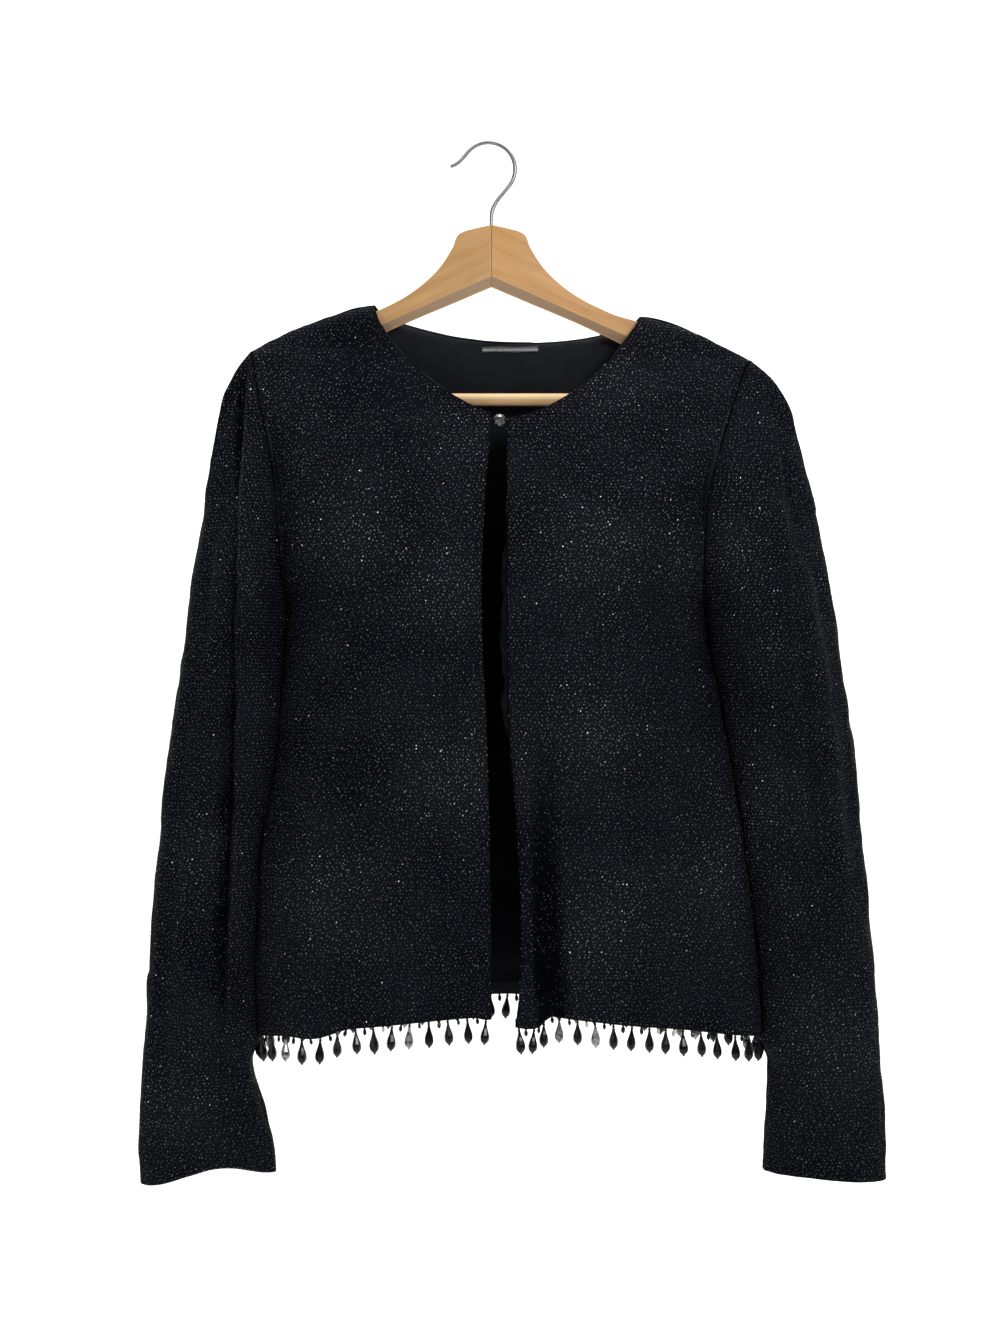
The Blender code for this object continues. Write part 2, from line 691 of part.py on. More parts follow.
def add_hanger_arm(half):
    """One mitred half of the hanger: a flat outline with rounded edges, whose end turns down to the bar."""
    curve = bpy.data.curves.new(half.name + "_hanger_arm", "CURVE")
    curve.dimensions = "2D"
    curve.fill_mode = "BOTH"
    curve.extrude = ARM_THICKNESS / 2 - ARM_EDGE_ROUNDING
    curve.bevel_depth = ARM_EDGE_ROUNDING
    curve.offset = -ARM_EDGE_ROUNDING
    curve.bevel_resolution = 1
    curve.resolution_u = 3
    spline = curve.splines.new("BEZIER")
    spline.use_cyclic_u = True
    outline = ARM_OUTLINE if half.sign > 0 else ARM_OUTLINE[::-1]
    spline.bezier_points.add(len(outline) - 1)
    for point, place in zip(spline.bezier_points, outline):
        point.co = (half.sign * (place.out + MITRE_GAP / 2), place.height, 0)
        point.handle_left_type = "VECTOR" if place.corner else "AUTO"
        point.handle_right_type = point.handle_left_type
    arm = add_part(half.name + "_hanger_arm", curve, "light_wood")
    arm.location.x = HANGER_X
    arm.rotation_euler.x = math.pi / 2


def add_hanger_bar():
    bpy.ops.mesh.primitive_cylinder_add(
        vertices=20,
        radius=BAR_RADIUS,
        depth=2 * BAR_REACH,
        location=(HANGER_X, 0, BAR_Z),
        rotation=(0, math.pi / 2, 0),
    )
    bar = bpy.context.object
    bar.name = "hanger_bar"
    bar.data.shade_smooth()
    bar.data.materials.append(finish_material("light_wood"))
    for collection in list(bar.users_collection):
        collection.objects.unlink(bar)
    bpy.data.collections["evening_jacket"].objects.link(bar)


def add_hook():
    """A stem, a crank out to the ring, the ring over the origin and a tip that flicks back out."""
    centre_z = WIRE_RADIUS - HOOK_RADIUS
    route = [(HANGER_X, 0, HOOK_STEM_FOOT_Z), (HANGER_X, 0, HOOK_STEM_TOP_Z)]
    for step in range(HOOK_ARC_STEPS + 1):
        angle = math.radians(HOOK_ARC_START + (HOOK_ARC_END - HOOK_ARC_START) * step / HOOK_ARC_STEPS)
        route.append((HOOK_RADIUS * math.cos(angle), 0, centre_z + HOOK_RADIUS * math.sin(angle)))
    end_x, _, end_z = route[-1]
    for step in (1, 2, 3):
        share = step / 3
        route.append((end_x - HOOK_TIP_OUT * share, 0, end_z - HOOK_TIP_DROP * math.sin(share * math.pi / 2)))
    wire_curve("hanger_hook", route, WIRE_RADIUS, "steel_wire")


def main():
    clear_scene()
    parts = bpy.data.collections.new("evening_jacket")
    bpy.context.scene.collection.children.link(parts)
    add_hook()
    for half in (RIGHT, LEFT):
        add_hanger_arm(half)
    add_hanger_bar()
    add_body()
    add_sleeves()
    add_lining()
    add_label()
    add_button()
    add_fringes()


main()
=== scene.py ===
"""Looks of the evening jacket on its hanger: creased glitter cloth, bead drops, lining, wood and steel.

Metres, +Z up, the front faces -Y. Right and left are the wearer's, so the right side lies at -X.
"""

import math
from collections import namedtuple

import bmesh
import bpy
import numpy as np
from mathutils import Euler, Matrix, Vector


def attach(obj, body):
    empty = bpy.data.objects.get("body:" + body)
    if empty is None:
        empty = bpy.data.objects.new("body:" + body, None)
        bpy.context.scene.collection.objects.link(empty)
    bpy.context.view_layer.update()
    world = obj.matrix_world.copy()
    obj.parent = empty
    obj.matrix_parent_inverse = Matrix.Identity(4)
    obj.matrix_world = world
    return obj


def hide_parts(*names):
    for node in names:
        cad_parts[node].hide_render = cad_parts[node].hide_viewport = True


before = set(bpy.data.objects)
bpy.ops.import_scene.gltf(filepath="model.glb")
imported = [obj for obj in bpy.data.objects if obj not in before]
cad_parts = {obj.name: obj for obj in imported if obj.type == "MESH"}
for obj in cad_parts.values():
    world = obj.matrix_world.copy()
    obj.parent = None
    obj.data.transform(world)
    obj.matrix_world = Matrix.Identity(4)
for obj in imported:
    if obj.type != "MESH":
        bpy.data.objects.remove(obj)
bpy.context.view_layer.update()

BODY_NAME = "root"


def table(row, *lines):
    """Rows with named columns, from lines of plain values."""
    return tuple(row(*line) for line in lines)


def tables(row, **panels):
    """A table for each panel."""
    return {panel: table(row, *lines) for panel, lines in panels.items()}


# The jacket's own sizes, as in its solids
BodyRow = namedtuple("BodyRow", "height right_side right_edge left_edge left_side depth")
BODY = table(
    BodyRow,
    (-0.120, -0.184, 0.000, 0.014, 0.203, 0.0115),
    (-0.160, -0.184, 0.000, 0.014, 0.203, 0.0150),
    (-0.208, -0.174, 0.0020, 0.0144, 0.190, 0.0255),
    (-0.277, -0.1625, -0.0022, 0.0145, 0.168, 0.0415),
    (-0.350, -0.1592, -0.005, 0.0148, 0.1668, 0.0490),
    (-0.457, -0.1625, -0.001, 0.0165, 0.184, 0.0500),
    (-0.555, -0.1766, 0.0015, 0.0235, 0.199, 0.0510),
    (-0.652, -0.1800, 0.0028, 0.0238, 0.210, 0.0510),
    (-0.700, -0.1780, 0.0022, 0.0172, 0.211, 0.0510),
)
SleeveRow = namedtuple("SleeveRow", "height outer inner depth")
RIGHT_SLEEVE = table(
    SleeveRow,
    (-0.1610, -0.1840, -0.1840, 0.028),
    (-0.1750, -0.1962, -0.1810, 0.023),
    (-0.1910, -0.2040, -0.1780, 0.025),
    (-0.2300, -0.2133, -0.1695, 0.032),
    (-0.2770, -0.2203, -0.1625, 0.040),
    (-0.3240, -0.2280, -0.1600, 0.046),
    (-0.3500, -0.2315, -0.1592, 0.047),
    (-0.4200, -0.2410, -0.1660, 0.045),
    (-0.5000, -0.2510, -0.1745, 0.042),
    (-0.5600, -0.2580, -0.1815, 0.039),
    (-0.6400, -0.2640, -0.1850, 0.036),
    (-0.7200, -0.2685, -0.1812, 0.033),
    (-0.7800, -0.2705, -0.1668, 0.030),
    (-0.8200, -0.2700, -0.1636, 0.029),
)
LEFT_SLEEVE = table(
    SleeveRow,
    (-0.1680, 0.2030, 0.2030, 0.028),
    (-0.1820, 0.2203, 0.1960, 0.024),
    (-0.1960, 0.2303, 0.1915, 0.025),
    (-0.2300, 0.2408, 0.1800, 0.032),
    (-0.2770, 0.2516, 0.1680, 0.040),
    (-0.3240, 0.2610, 0.1655, 0.046),
    (-0.3550, 0.2660, 0.1668, 0.047),
    (-0.4200, 0.2770, 0.1795, 0.045),
    (-0.4800, 0.2850, 0.1935, 0.043),
    (-0.5400, 0.2905, 0.2020, 0.040),
    (-0.6000, 0.2963, 0.2095, 0.037),
    (-0.6600, 0.3022, 0.2160, 0.035),
    (-0.7200, 0.3057, 0.2175, 0.033),
    (-0.7850, 0.3085, 0.2138, 0.030),
    (-0.8200, 0.3085, 0.2125, 0.029),
)
Half = namedtuple(
    "Half", "name sign sleeve neck_x neck_z shoulder_z underarm_z cuff_outer_z cuff_inner_z cuff_arch"
)
RIGHT = Half("right", -1, RIGHT_SLEEVE, -0.0885, -0.1258, -0.161, -0.350, -0.809, -0.8005, 0.012)
LEFT = Half("left", 1, LEFT_SLEEVE, 0.1180, -0.1342, -0.168, -0.355, -0.805, -0.7985, 0.0015)

FRONT_FLATNESS = 0.6
SHOULDER_ARCH_HEIGHT = 0.011
SHOULDER_CURVE = 1.4
FRONT_NECK = {"right": (0.086, 1.4, 0.63), "left": (0.086, 1.6, 0.8)}
BACK_NECK = (0.022, 2.0, 0.7)
HEM_CENTRE_X = 0.016
HEM_HALF_WIDTH = 0.195
HEM_HEIGHT = -0.6695
HEM_SIDE_DROP = 0.021
HEM_CURVE = 1.4
# Dips of the fronts' hems, where a fold hangs lower
HemDip = namedtuple("HemDip", "x half_width edge drop")
HEM_DIPS = tables(
    HemDip,
    left_front=(
        (0.0287, 0.0150, 0.0030, 0.0080),
    ),
    right_front=(
        (-0.130, 0.0140, 0.0280, 0.0042),
        (0.000, 0.0060, 0.0080, 0.0020),
    ),
)
SEAM_GAP = 0.0006
ARMHOLE_GAP = 0.0008
SETTLE_STEPS = 12
TINY = 1e-6

# Folds and creases of the body: a ridge where push is above zero, a trough where it is below
Fold = namedtuple("Fold", "top_x top_z bottom_x bottom_z width push")
FOLDS = tables(
    Fold,
    right_front=(
        (-0.062, -0.300, -0.080, -0.720, 0.026, 0.0045),
        (-0.098, -0.380, -0.112, -0.720, 0.018, -0.0020),
        (-0.128, -0.430, -0.146, -0.720, 0.020, 0.0070),
    ),
    left_front=(
        (0.026, -0.430, 0.030, -0.720, 0.007, 0.0050),
        (0.036, -0.440, 0.050, -0.720, 0.010, -0.0048),
        (0.095, -0.330, 0.104, -0.720, 0.028, 0.0045),
        (0.142, -0.420, 0.160, -0.720, 0.020, -0.0050),
    ),
    back=(
        (-0.105, -0.340, -0.112, -0.720, 0.024, 0.0060),
        (-0.060, -0.400, -0.055, -0.720, 0.020, -0.0050),
        (0.085, -0.320, 0.096, -0.720, 0.026, 0.0065),
        (0.140, -0.430, 0.150, -0.720, 0.018, -0.0050),
    ),
)
FOLD_FADE = 0.090

# Smaller creases, from their top to their bottom; bow bends one sideways
Crease = namedtuple("Crease", "top_x top_z bottom_x bottom_z width push bow")
CREASES = tables(
    Crease,
    right_front=(
        (-0.150, -0.205, -0.128, -0.330, 0.010, -0.0022, 0.004),
        (-0.160, -0.268, -0.158, -0.420, 0.006, -0.0030, 0.002),
        (-0.120, -0.300, -0.070, -0.345, 0.012, -0.0016, 0.003),
        (-0.046, -0.260, -0.030, -0.400, 0.012, 0.0018, -0.003),
        (-0.020, -0.400, -0.034, -0.560, 0.010, -0.0018, 0.004),
        (-0.024, -0.540, -0.020, -0.668, 0.009, 0.0020, 0.002),
        (-0.128, -0.560, -0.070, -0.590, 0.014, 0.0016, -0.004),
        (-0.140, -0.150, -0.060, -0.178, 0.012, -0.0012, -0.003),
    ),
    left_front=(
        (0.172, -0.215, 0.150, -0.330, 0.010, -0.0022, -0.004),
        (0.160, -0.290, 0.172, -0.440, 0.006, -0.0030, -0.002),
        (0.060, -0.285, 0.118, -0.325, 0.013, 0.0016, 0.004),
        (0.050, -0.250, 0.044, -0.380, 0.011, -0.0014, 0.003),
        (0.066, -0.400, 0.078, -0.520, 0.011, 0.0018, -0.004),
        (0.130, -0.520, 0.084, -0.600, 0.013, -0.0016, 0.003),
        (0.180, -0.540, 0.150, -0.640, 0.010, 0.0020, 0.003),
        (0.090, -0.160, 0.160, -0.190, 0.012, -0.0012, 0.003),
        (0.0290, -0.440, 0.0315, -0.800, 0.0060, 0.0024, 0.000),
        (0.0430, -0.520, 0.0490, -0.800, 0.0100, -0.0022, 0.000),
    ),
    back=(
        (-0.120, -0.220, -0.060, -0.300, 0.014, -0.0020, 0.005),
        (0.150, -0.225, 0.085, -0.310, 0.013, -0.0022, -0.005),
        (-0.030, -0.190, 0.010, -0.360, 0.012, 0.0016, 0.006),
        (0.050, -0.260, 0.030, -0.440, 0.010, -0.0016, -0.004),
        (-0.090, -0.420, -0.020, -0.470, 0.012, 0.0016, 0.004),
        (0.020, -0.500, 0.070, -0.640, 0.012, 0.0020, 0.005),
        (-0.150, -0.520, -0.130, -0.660, 0.009, -0.0020, 0.003),
    ),
    right_sleeve=(
        (-0.222, -0.255, -0.205, -0.420, 0.008, -0.0024, 0.003),
        (-0.214, -0.430, -0.240, -0.500, 0.009, 0.0016, 0.002),
        (-0.190, -0.500, -0.235, -0.545, 0.007, -0.0018, -0.003),
        (-0.196, -0.590, -0.246, -0.640, 0.008, -0.0016, 0.003),
        (-0.226, -0.620, -0.232, -0.770, 0.009, 0.0018, 0.003),
    ),
    right_sleeve_back=(
        (-0.200, -0.330, -0.225, -0.480, 0.009, -0.0022, 0.003),
        (-0.250, -0.500, -0.200, -0.560, 0.009, -0.0018, 0.003),
        (-0.220, -0.600, -0.226, -0.760, 0.010, 0.0020, -0.003),
    ),
    left_sleeve=(
        (0.232, -0.240, 0.236, -0.460, 0.008, -0.0026, -0.003),
        (0.210, -0.380, 0.262, -0.430, 0.009, 0.0014, -0.003),
        (0.220, -0.470, 0.280, -0.510, 0.008, -0.0018, 0.003),
        (0.234, -0.560, 0.286, -0.600, 0.008, 0.0016, 0.003),
        (0.250, -0.600, 0.262, -0.760, 0.009, -0.0018, -0.004),
    ),
    left_sleeve_back=(
        (0.215, -0.320, 0.245, -0.480, 0.009, -0.0022, -0.003),
        (0.275, -0.490, 0.225, -0.560, 0.009, -0.0018, -0.003),
        (0.255, -0.600, 0.262, -0.760, 0.010, 0.0020, 0.003),
    ),
    back_lining=(
        (0.0060, -0.1640, 0.0010, -0.2100, 0.0020, 0.0011, 0.000),
        (0.0215, -0.1600, 0.0225, -0.1900, 0.0008, 0.0007, 0.000),
        (0.0250, -0.1605, 0.0255, -0.1960, 0.0008, 0.0008, 0.000),
        (0.0285, -0.1605, 0.0285, -0.1880, 0.0009, 0.0007, 0.000),
        (0.0345, -0.1605, 0.0360, -0.1980, 0.0010, 0.0006, 0.000),
    ),
)
CREASE_TAPER = 0.35
SleeveFold = namedtuple("SleeveFold", "angle width top_z bottom_z push")
SLEEVE_FOLDS = tables(
    SleeveFold,
    right=(
        (84, 17, -0.190, -0.790, 0.0045),
        (52, 15, -0.210, -0.760, -0.0035),
        (-95, 22, -0.300, -0.790, -0.0050),
    ),
    left=(
        (66, 17, -0.200, -0.640, 0.0045),
        (36, 15, -0.220, -0.620, -0.0035),
        (-100, 22, -0.300, -0.790, -0.0050),
    ),
)

# Sharp lengthwise pleats of the sleeves: the cloth drops behind the fold line and comes back further out
Pleat = namedtuple("Pleat", "side heights places step recover ridge")
PLEATS = tables(
    Pleat,
    right=(
        (-1, (-0.73, -0.61, -0.45, -0.15), (-0.2045, -0.1995, -0.1920, -0.1865), 0.0130, 0.026, 0.0014),
        (1, (-0.74, -0.60, -0.40, -0.22), (-0.226, -0.216, -0.200, -0.188), 0.0070, 0.016, 0.0020),
    ),
    left=(
        (-1, (-0.60, -0.45, -0.30, -0.18), (0.250, 0.240, 0.228, 0.216), 0.0045, 0.020, 0.0010),
        (1, (-0.74, -0.60, -0.40, -0.22), (0.262, 0.250, 0.228, 0.208), 0.0070, 0.016, 0.0020),
    ),
)
PLEAT_EDGE = 0.004
PLEAT_ENDS = (0.05, 0.12)
PLEAT_MOST = 0.6
PLEAT_SIDE_FADE = 0.012
RIDGE_WIDTH = 0.009

# Fine shells
CLOTH_WALL = 0.0011
TURN_RIM = 0.0007
TURN_IN = 0.0022
TURN_DOWN = 0.0030
CAP_TUCK = 0.84
SHARP_RIM = math.radians(55)
CALM_COLUMNS = 9
CALM_SIDE_COLUMNS = 6
CALM_CAP_RINGS = 8
VALLEY_TOP_Z = {"right": -0.205, "left": -0.255}
VALLEY_FADE = 0.060
VALLEY_DEPTH = 0.011
VALLEY_WIDTH = 0.011
SLEEVE_PRESS = 0.0022
SLEEVE_LEAVES_BODY_Z = -0.715
SLEEVE_LEAVES_WITHIN = 0.022
SLEEVE_MEETS_WITHIN = 0.012
FRONT_COLUMNS = 78
BACK_HALF_COLUMNS = 60
PLAIN_ROWS = 150
ARCH_ROWS = 12
SLEEVE_COLUMNS = 132
SLEEVE_STEP = 0.0034
SLEEVE_SWELL = 1.1
SLEEVE_SIDE_BLEND = 0.02
# Painted shade in folds: columns looked across, the sag from no shade to full shade, and the shade of a
# sleeve's tucked cap edge
FOLD_REACH = 7
FOLD_SAG = (0.0012, 0.0088)
SEAM_SHADE = 0.6
SLEEVE_RINGS = 170
SLEEVE_RING_CROWDING = 1.12
CUFF_ARCH_ANGLE = 103
CUFF_ARCH_SPREAD = 40
CRUMPLE_CELLS = 127
CRUMPLE_SHIFT = 400
CRUMPLE_SIZES = ((0.034, 0.0011), (0.015, 0.0006), (0.0075, 0.00028))

# Lining, facing, label, button and its loop
INSIDE_DEPTH = 0.0022
LINING_WALL = 0.0007
LINING_ACROSS = 0.66
LINING_SHOULDER_DROP = 0.022
LINING_NECK_DROP = 0.0012
LINING_HEM_RISE = 0.004
# Heights over which the satin goes from painted shade below to its own colour above
LINING_SHADE_Z = (-0.32, -0.20)
FACING_Z = (-0.505, -0.285)
FACING_SHOW_Z = (-0.480, -0.300)
FACING_SHOW = 0.0065
FACING_LEAST_SHOW = 0.0004
FACING_SHOW_FADE = 0.05
FACING_SHARES = (0.0, 0.02, 0.045, 0.065, 0.085)
FACING_PEEPS = (1, 0.75, 0.5, 0.25)
FACING_CURLS = (0.0016, 0.0009, 0.0004, 0.0001)
FACING_CURL_PITCH = 160
FACING_EVEN = 0.72
Wave = namedtuple("Wave", "size pitch start")
FACING_WAVES = table(Wave, (0.20, 110, 0), (0.12, 290, 1))
LABEL_X = (-0.005, 0.039)
LABEL_TOP = -0.1560
LABEL_HEIGHT = 0.0042
LABEL_DEPTH = 0.0037
# Where the label's painted highlight fades in and out, as shares of its height below its top
LABEL_HIGHLIGHT_FADES = ((0.85, 0.65), (0.50, 0.25))
BUTTON_RADIUS = 0.0054
BUTTON_Z = -0.2190
BUTTON_CLEARANCE = 0.0003
LOOP_RADIUS = 0.0006
LOOP_HALF_SPREAD = 0.0026
LOOP_STEPS = 32
LOOP_TUCK = 1.6
BUTTON_FACETS = 2
SOLID_WALL = 0.0014
LINING_ROWS = 96
FACING_ROWS = 90
LABEL_COLUMNS = 40
LABEL_ROWS = 9
LABEL_WALL = 0.0004
LABEL_WAVE = 0.0003
LABEL_WAVE_PITCHES = (210, 330)
LABEL_FOLD = 0.0009

# Beaded hem: long drops and short strands take turns; rings are distances below the hem and radii
FRINGE_SEED = 20
STRAND_PITCH = 0.0068
STRAND_END_MARGIN = {"right_front": 0.0045, "left_front": 0.0030, "back": 0.004}
Ring = namedtuple("Ring", "below radius")
DROP = table(
    Ring,
    (0.0036, 0.0008), (0.0052, 0.0011), (0.0078, 0.0017), (0.0104, 0.0026), (0.0130, 0.0034),
    (0.0153, 0.0036), (0.0174, 0.0033), (0.0190, 0.0023), (0.0199, 0.0012), (0.0205, 0.0009),
    (0.0213, 0.0003),
)
SHORT_BEAD = table(
    Ring,
    (0.0020, 0.0006), (0.0030, 0.0013), (0.0044, 0.0016), (0.0058, 0.0014), (0.0070, 0.0005),
)
SEED_BEAD = table(
    Ring,
    (-0.0008, 0.0003), (-0.0005, 0.0008), (0.0000, 0.0010), (0.0005, 0.0008), (0.0008, 0.0003),
)
DROP_SIDES = 8
BEAD_SIDES = 6
DROP_SCALES = (0.97, 1.03)
DROP_SEEDS = (0.0012, 0.0030)
DROP_SEED_SCALE = 1.25
SMOKE_SHARE = 0.16
SHORT_SCALES = (0.8, 1.08)
SHORT_SEED = 0.0016
SHORT_SWAY = 2
PALE_SHARE = 0.12
STRAND_JITTER = 0.0007
STRAND_INSET = 0.0009
STRAND_SPIN = 6.3
STRAND_SWAY = 0.045
STRAND_LEAN = 0.04
TapeEdge = namedtuple("TapeEdge", "inset rise")
STRAND_TAPE = table(TapeEdge, (0.0004, -0.0014), (0.0013, -0.0014), (0.0020, 0.0050), (0.0013, 0.0050))

Glass = namedtuple("Glass", "name coat shine dark light")
BLACK_GLASS = Glass("black_glass", 0.04, 0.13, (0.0015, 0.0015, 0.002), (0.006, 0.006, 0.007))
BUTTON_GLASS = Glass("button_glass", 0.7, 0.45, (0.002, 0.002, 0.0025), (0.035, 0.035, 0.037))
SMOKE_GLASS = Glass("smoke_glass", 0.3, 0.5, (0.006, 0.007, 0.007), (0.20, 0.205, 0.20))
Thread = namedtuple("Thread", "name dark light")
LOOP_THREAD = Thread("loop_cord", (0.001, 0.001, 0.0014), (0.004, 0.004, 0.005))
PALE_THREAD = Thread("pale_bead", (0.30, 0.26, 0.21), (0.52, 0.46, 0.38))
TAPE_THREAD = Thread("strand_tape", (0.0008, 0.0009, 0.0014), (0.0024, 0.0025, 0.0034))

# Tubes and outlines
TUBE_FACETS = 6
CURVE_CREASE = math.radians(35)
CORNER_CUT = 0.25

# Hanger
HANGER_X = 0.0024
ARM_THICKNESS = 0.011
ARM_EDGE_ROUNDING = 0.0008
ARM_EDGE_FACETS = 4
ARM_CURVE_STEPS = 10
ARM_CREASE = math.radians(22)
ArmPoint = namedtuple("ArmPoint", "out height corner")
ARM_OUTLINE = table(
    ArmPoint,
    (0.0000, -0.0635, True),
    (0.0130, -0.0664, False),
    (0.0236, -0.0697, False),
    (0.0266, -0.0722, False),
    (0.0304, -0.0815, False),
    (0.0490, -0.1058, False),
    (0.0900, -0.1312, False),
    (0.1130, -0.1385, False),
    (0.1300, -0.1428, False),
    (0.1560, -0.1510, False),
    (0.1710, -0.1580, False),
    (0.1770, -0.1700, False),
    (0.1770, -0.2000, False),
    (0.1700, -0.2075, False),
    (0.1610, -0.2065, True),
    (0.1610, -0.1900, True),
    (0.1400, -0.1770, False),
    (0.0830, -0.1470, False),
    (0.0235, -0.1213, False),
    (0.0000, -0.1113, True),
)
ARM_SLOPE = math.radians(25)
ARM_FOOT_Z = -0.1037
ARM_FOOT_SLOPE = 0.444
ARM_FOOT_REACH = 0.13
ARM_FOOT_THIN = 0.25
# Painted shade: the tones that faces looking down take, dark on the arms and warm on the bar
ARM_UNDERSIDE_SHADE = (0.21, 0.155, 0.105)
BAR_UNDERSIDE_SHADE = (0.60, 0.36, 0.17)
Wood = namedtuple("Wood", "name pale deep foot slope")
RIGHT_ARM = Wood("wood_right_arm", (0.42, 0.245, 0.098), (0.34, 0.180, 0.062), ARM_UNDERSIDE_SHADE, ARM_SLOPE)
LEFT_ARM = Wood("wood_left_arm", (0.445, 0.250, 0.094), (0.365, 0.178, 0.055), ARM_UNDERSIDE_SHADE, -ARM_SLOPE)
BAR = Wood("wood_bar", (0.58, 0.400, 0.215), (0.52, 0.330, 0.160), BAR_UNDERSIDE_SHADE, 0.0)
BarEnd = namedtuple("BarEnd", "share radius")
BAR_ENDS = table(BarEnd, (-1.0, 0.8), (-0.994, 0.93), (-0.98, 1.0), (0.98, 1.0), (0.994, 0.93), (1.0, 0.8))
BAR_RADIUS = 0.0049
BAR_Z = -0.1990
BAR_REACH = 0.1606
WIRE_RADIUS = 0.00165
HOOK_RADIUS = 0.02085
HOOK_STEM_FOOT_Z = -0.0631
HOOK_STEM_TOP_Z = -0.0490
HOOK_ARC = (-38, 146)
HOOK_ARC_STEPS = 18
HOOK_TIP_OUT = 0.0125
HOOK_TIP_DROP = 0.0095
HOOK_TIP_STEPS = 3
HOOK_TIP_RADII = (1.0, 0.85, 0.55)
HOOK_ROUNDS = 3

# Glitter: low studs in a loose lattice; glow is painted light, patches where more studs are middling or
# bright and the cloth is lighter, and below zero it thins the studs out
GLITTER_SEED = 40
GLITTER_SPACING = 0.0031
LATTICE_ROW = 0.82
GLITTER_JITTER = 0.20
GLITTER_RADIUS = (0.00048, 0.00078)
GLITTER_HEIGHT = 0.45
GLITTER_TILT = 0.16
GLITTER_SUNK = 0.00008
# How strongly painted shade in folds, and glow below zero, thin out the studs
FOLD_HIDES = 0.7
LATTICE_MARGIN = 0.2
# Painted glints: shares of studs that take a lighter look, a base share and more on glow patches
MIDDLING_SHARE = (0.13, 0.72)
BRIGHT_SHARE = (0.003, 0.030)
Stud = namedtuple("Stud", "name dark light metallic rough")
STUDS = table(
    Stud,
    ("glitter_dim", 0.012, 0.050, 0.5, 0.42),
    ("glitter_middling", 0.050, 0.155, 0.6, 0.36),
    ("glitter_bright", 0.35, 0.80, 0.7, 0.25),
)
GLOW_BLEND = 0.03
# Patches of painted light on the front; a gain below zero thins out the studs there
Glow = namedtuple("Glow", "x height radius gain")
FRONT_GLOWS = table(
    Glow,
    (-0.105, -0.304, 0.034, 0.80),
    (-0.030, -0.347, 0.032, 0.80),
    (-0.022, -0.484, 0.040, 1.00),
    (-0.118, -0.584, 0.044, 0.85),
    (-0.014, -0.235, 0.026, 0.55),
    (0.084, -0.318, 0.040, 1.00),
    (0.077, -0.456, 0.038, 0.95),
    (0.174, -0.576, 0.038, 0.80),
    (0.084, -0.607, 0.040, 0.80),
    (0.094, -0.180, 0.036, 0.75),
    (-0.072, -0.178, 0.042, -0.40),
    (0.177, -0.327, 0.034, 0.80),
    (0.206, -0.508, 0.036, 0.75),
    (0.262, -0.690, 0.040, 0.60),
    (-0.212, -0.546, 0.034, 0.65),
    (-0.240, -0.740, 0.040, 0.60),
    (-0.180, -0.330, 0.024, 0.45),
    (0.031, -0.560, 0.014, -0.35),
    (0.031, -0.595, 0.015, -0.50),
    (0.032, -0.635, 0.015, -0.60),
    (0.033, -0.672, 0.015, -0.70),
)
# Patches of painted light on the back
BACK_GLOWS = table(
    Glow,
    (-0.080, -0.230, 0.050, 0.70),
    (0.110, -0.260, 0.045, 0.75),
    (0.010, -0.380, 0.055, 0.70),
    (-0.110, -0.520, 0.045, 0.80),
    (0.090, -0.580, 0.050, 0.75),
    (-0.020, -0.630, 0.035, 0.60),
    (-0.225, -0.460, 0.040, 0.60),
    (-0.230, -0.700, 0.045, 0.60),
    (0.240, -0.420, 0.040, 0.60),
    (0.258, -0.650, 0.045, 0.65),
)

# Framing: the camera is level with the middle of the jacket
CAMERA_DISTANCE = 1.5
FRAME_HEIGHT = 1.0397
FRAME_CENTRE = (0.00905, -0.4071)
SENSOR_HEIGHT = 24.0

# Studio: the floor bends up into the wall
FLOOR_FRONT_Y = -4.0
FLOOR_Z = -1.25
FLOOR_HALF_WIDTH = 4.0
FLOOR_BEND = 0.5
FLOOR_BEND_STEPS = 12
WALL_Y = 1.1
WALL_TOP = 3.0
SURROUND = 0.24
Lamp = namedtuple("Lamp", "name place width height power aim")
LAMPS = table(
    Lamp,
    ("key", (1.1, -2.4, 0.45), 0.7, 0.7, 44, (0.0, 0.0, -0.45)),
    ("fill", (-1.5, -1.6, -0.1), 0.9, 1.4, 7, (0.0, 0.0, -0.45)),
    ("wall_wash", (0.0, -0.1, 1.7), 3.2, 0.8, 110, (0.0, 1.1, -0.5)),
)


class Value:
    """A shader socket that takes part in Python sums; each sum adds a Math node."""

    def __init__(self, finish, socket):
        self.finish = finish
        self.socket = socket

    def maths(self, operation, *terms):
        return self.finish.node("Math", {"operation": operation}, dict(enumerate(terms)))

    def __add__(self, other):
        return self.maths("ADD", self, other)

    def __sub__(self, other):
        return self.maths("SUBTRACT", self, other)

    def __rsub__(self, other):
        return self.maths("SUBTRACT", other, self)

    def __mul__(self, other):
        return self.maths("MULTIPLY", self, other)

    __radd__ = __add__
    __rmul__ = __mul__

    def between(self, low, high):
        """The value's place from low to high, as 0 to 1 and no further."""
        ends = {"Value": self, "From Min": low, "From Max": high}
        return self.finish.node("MapRange", {}, ends, out="Result")


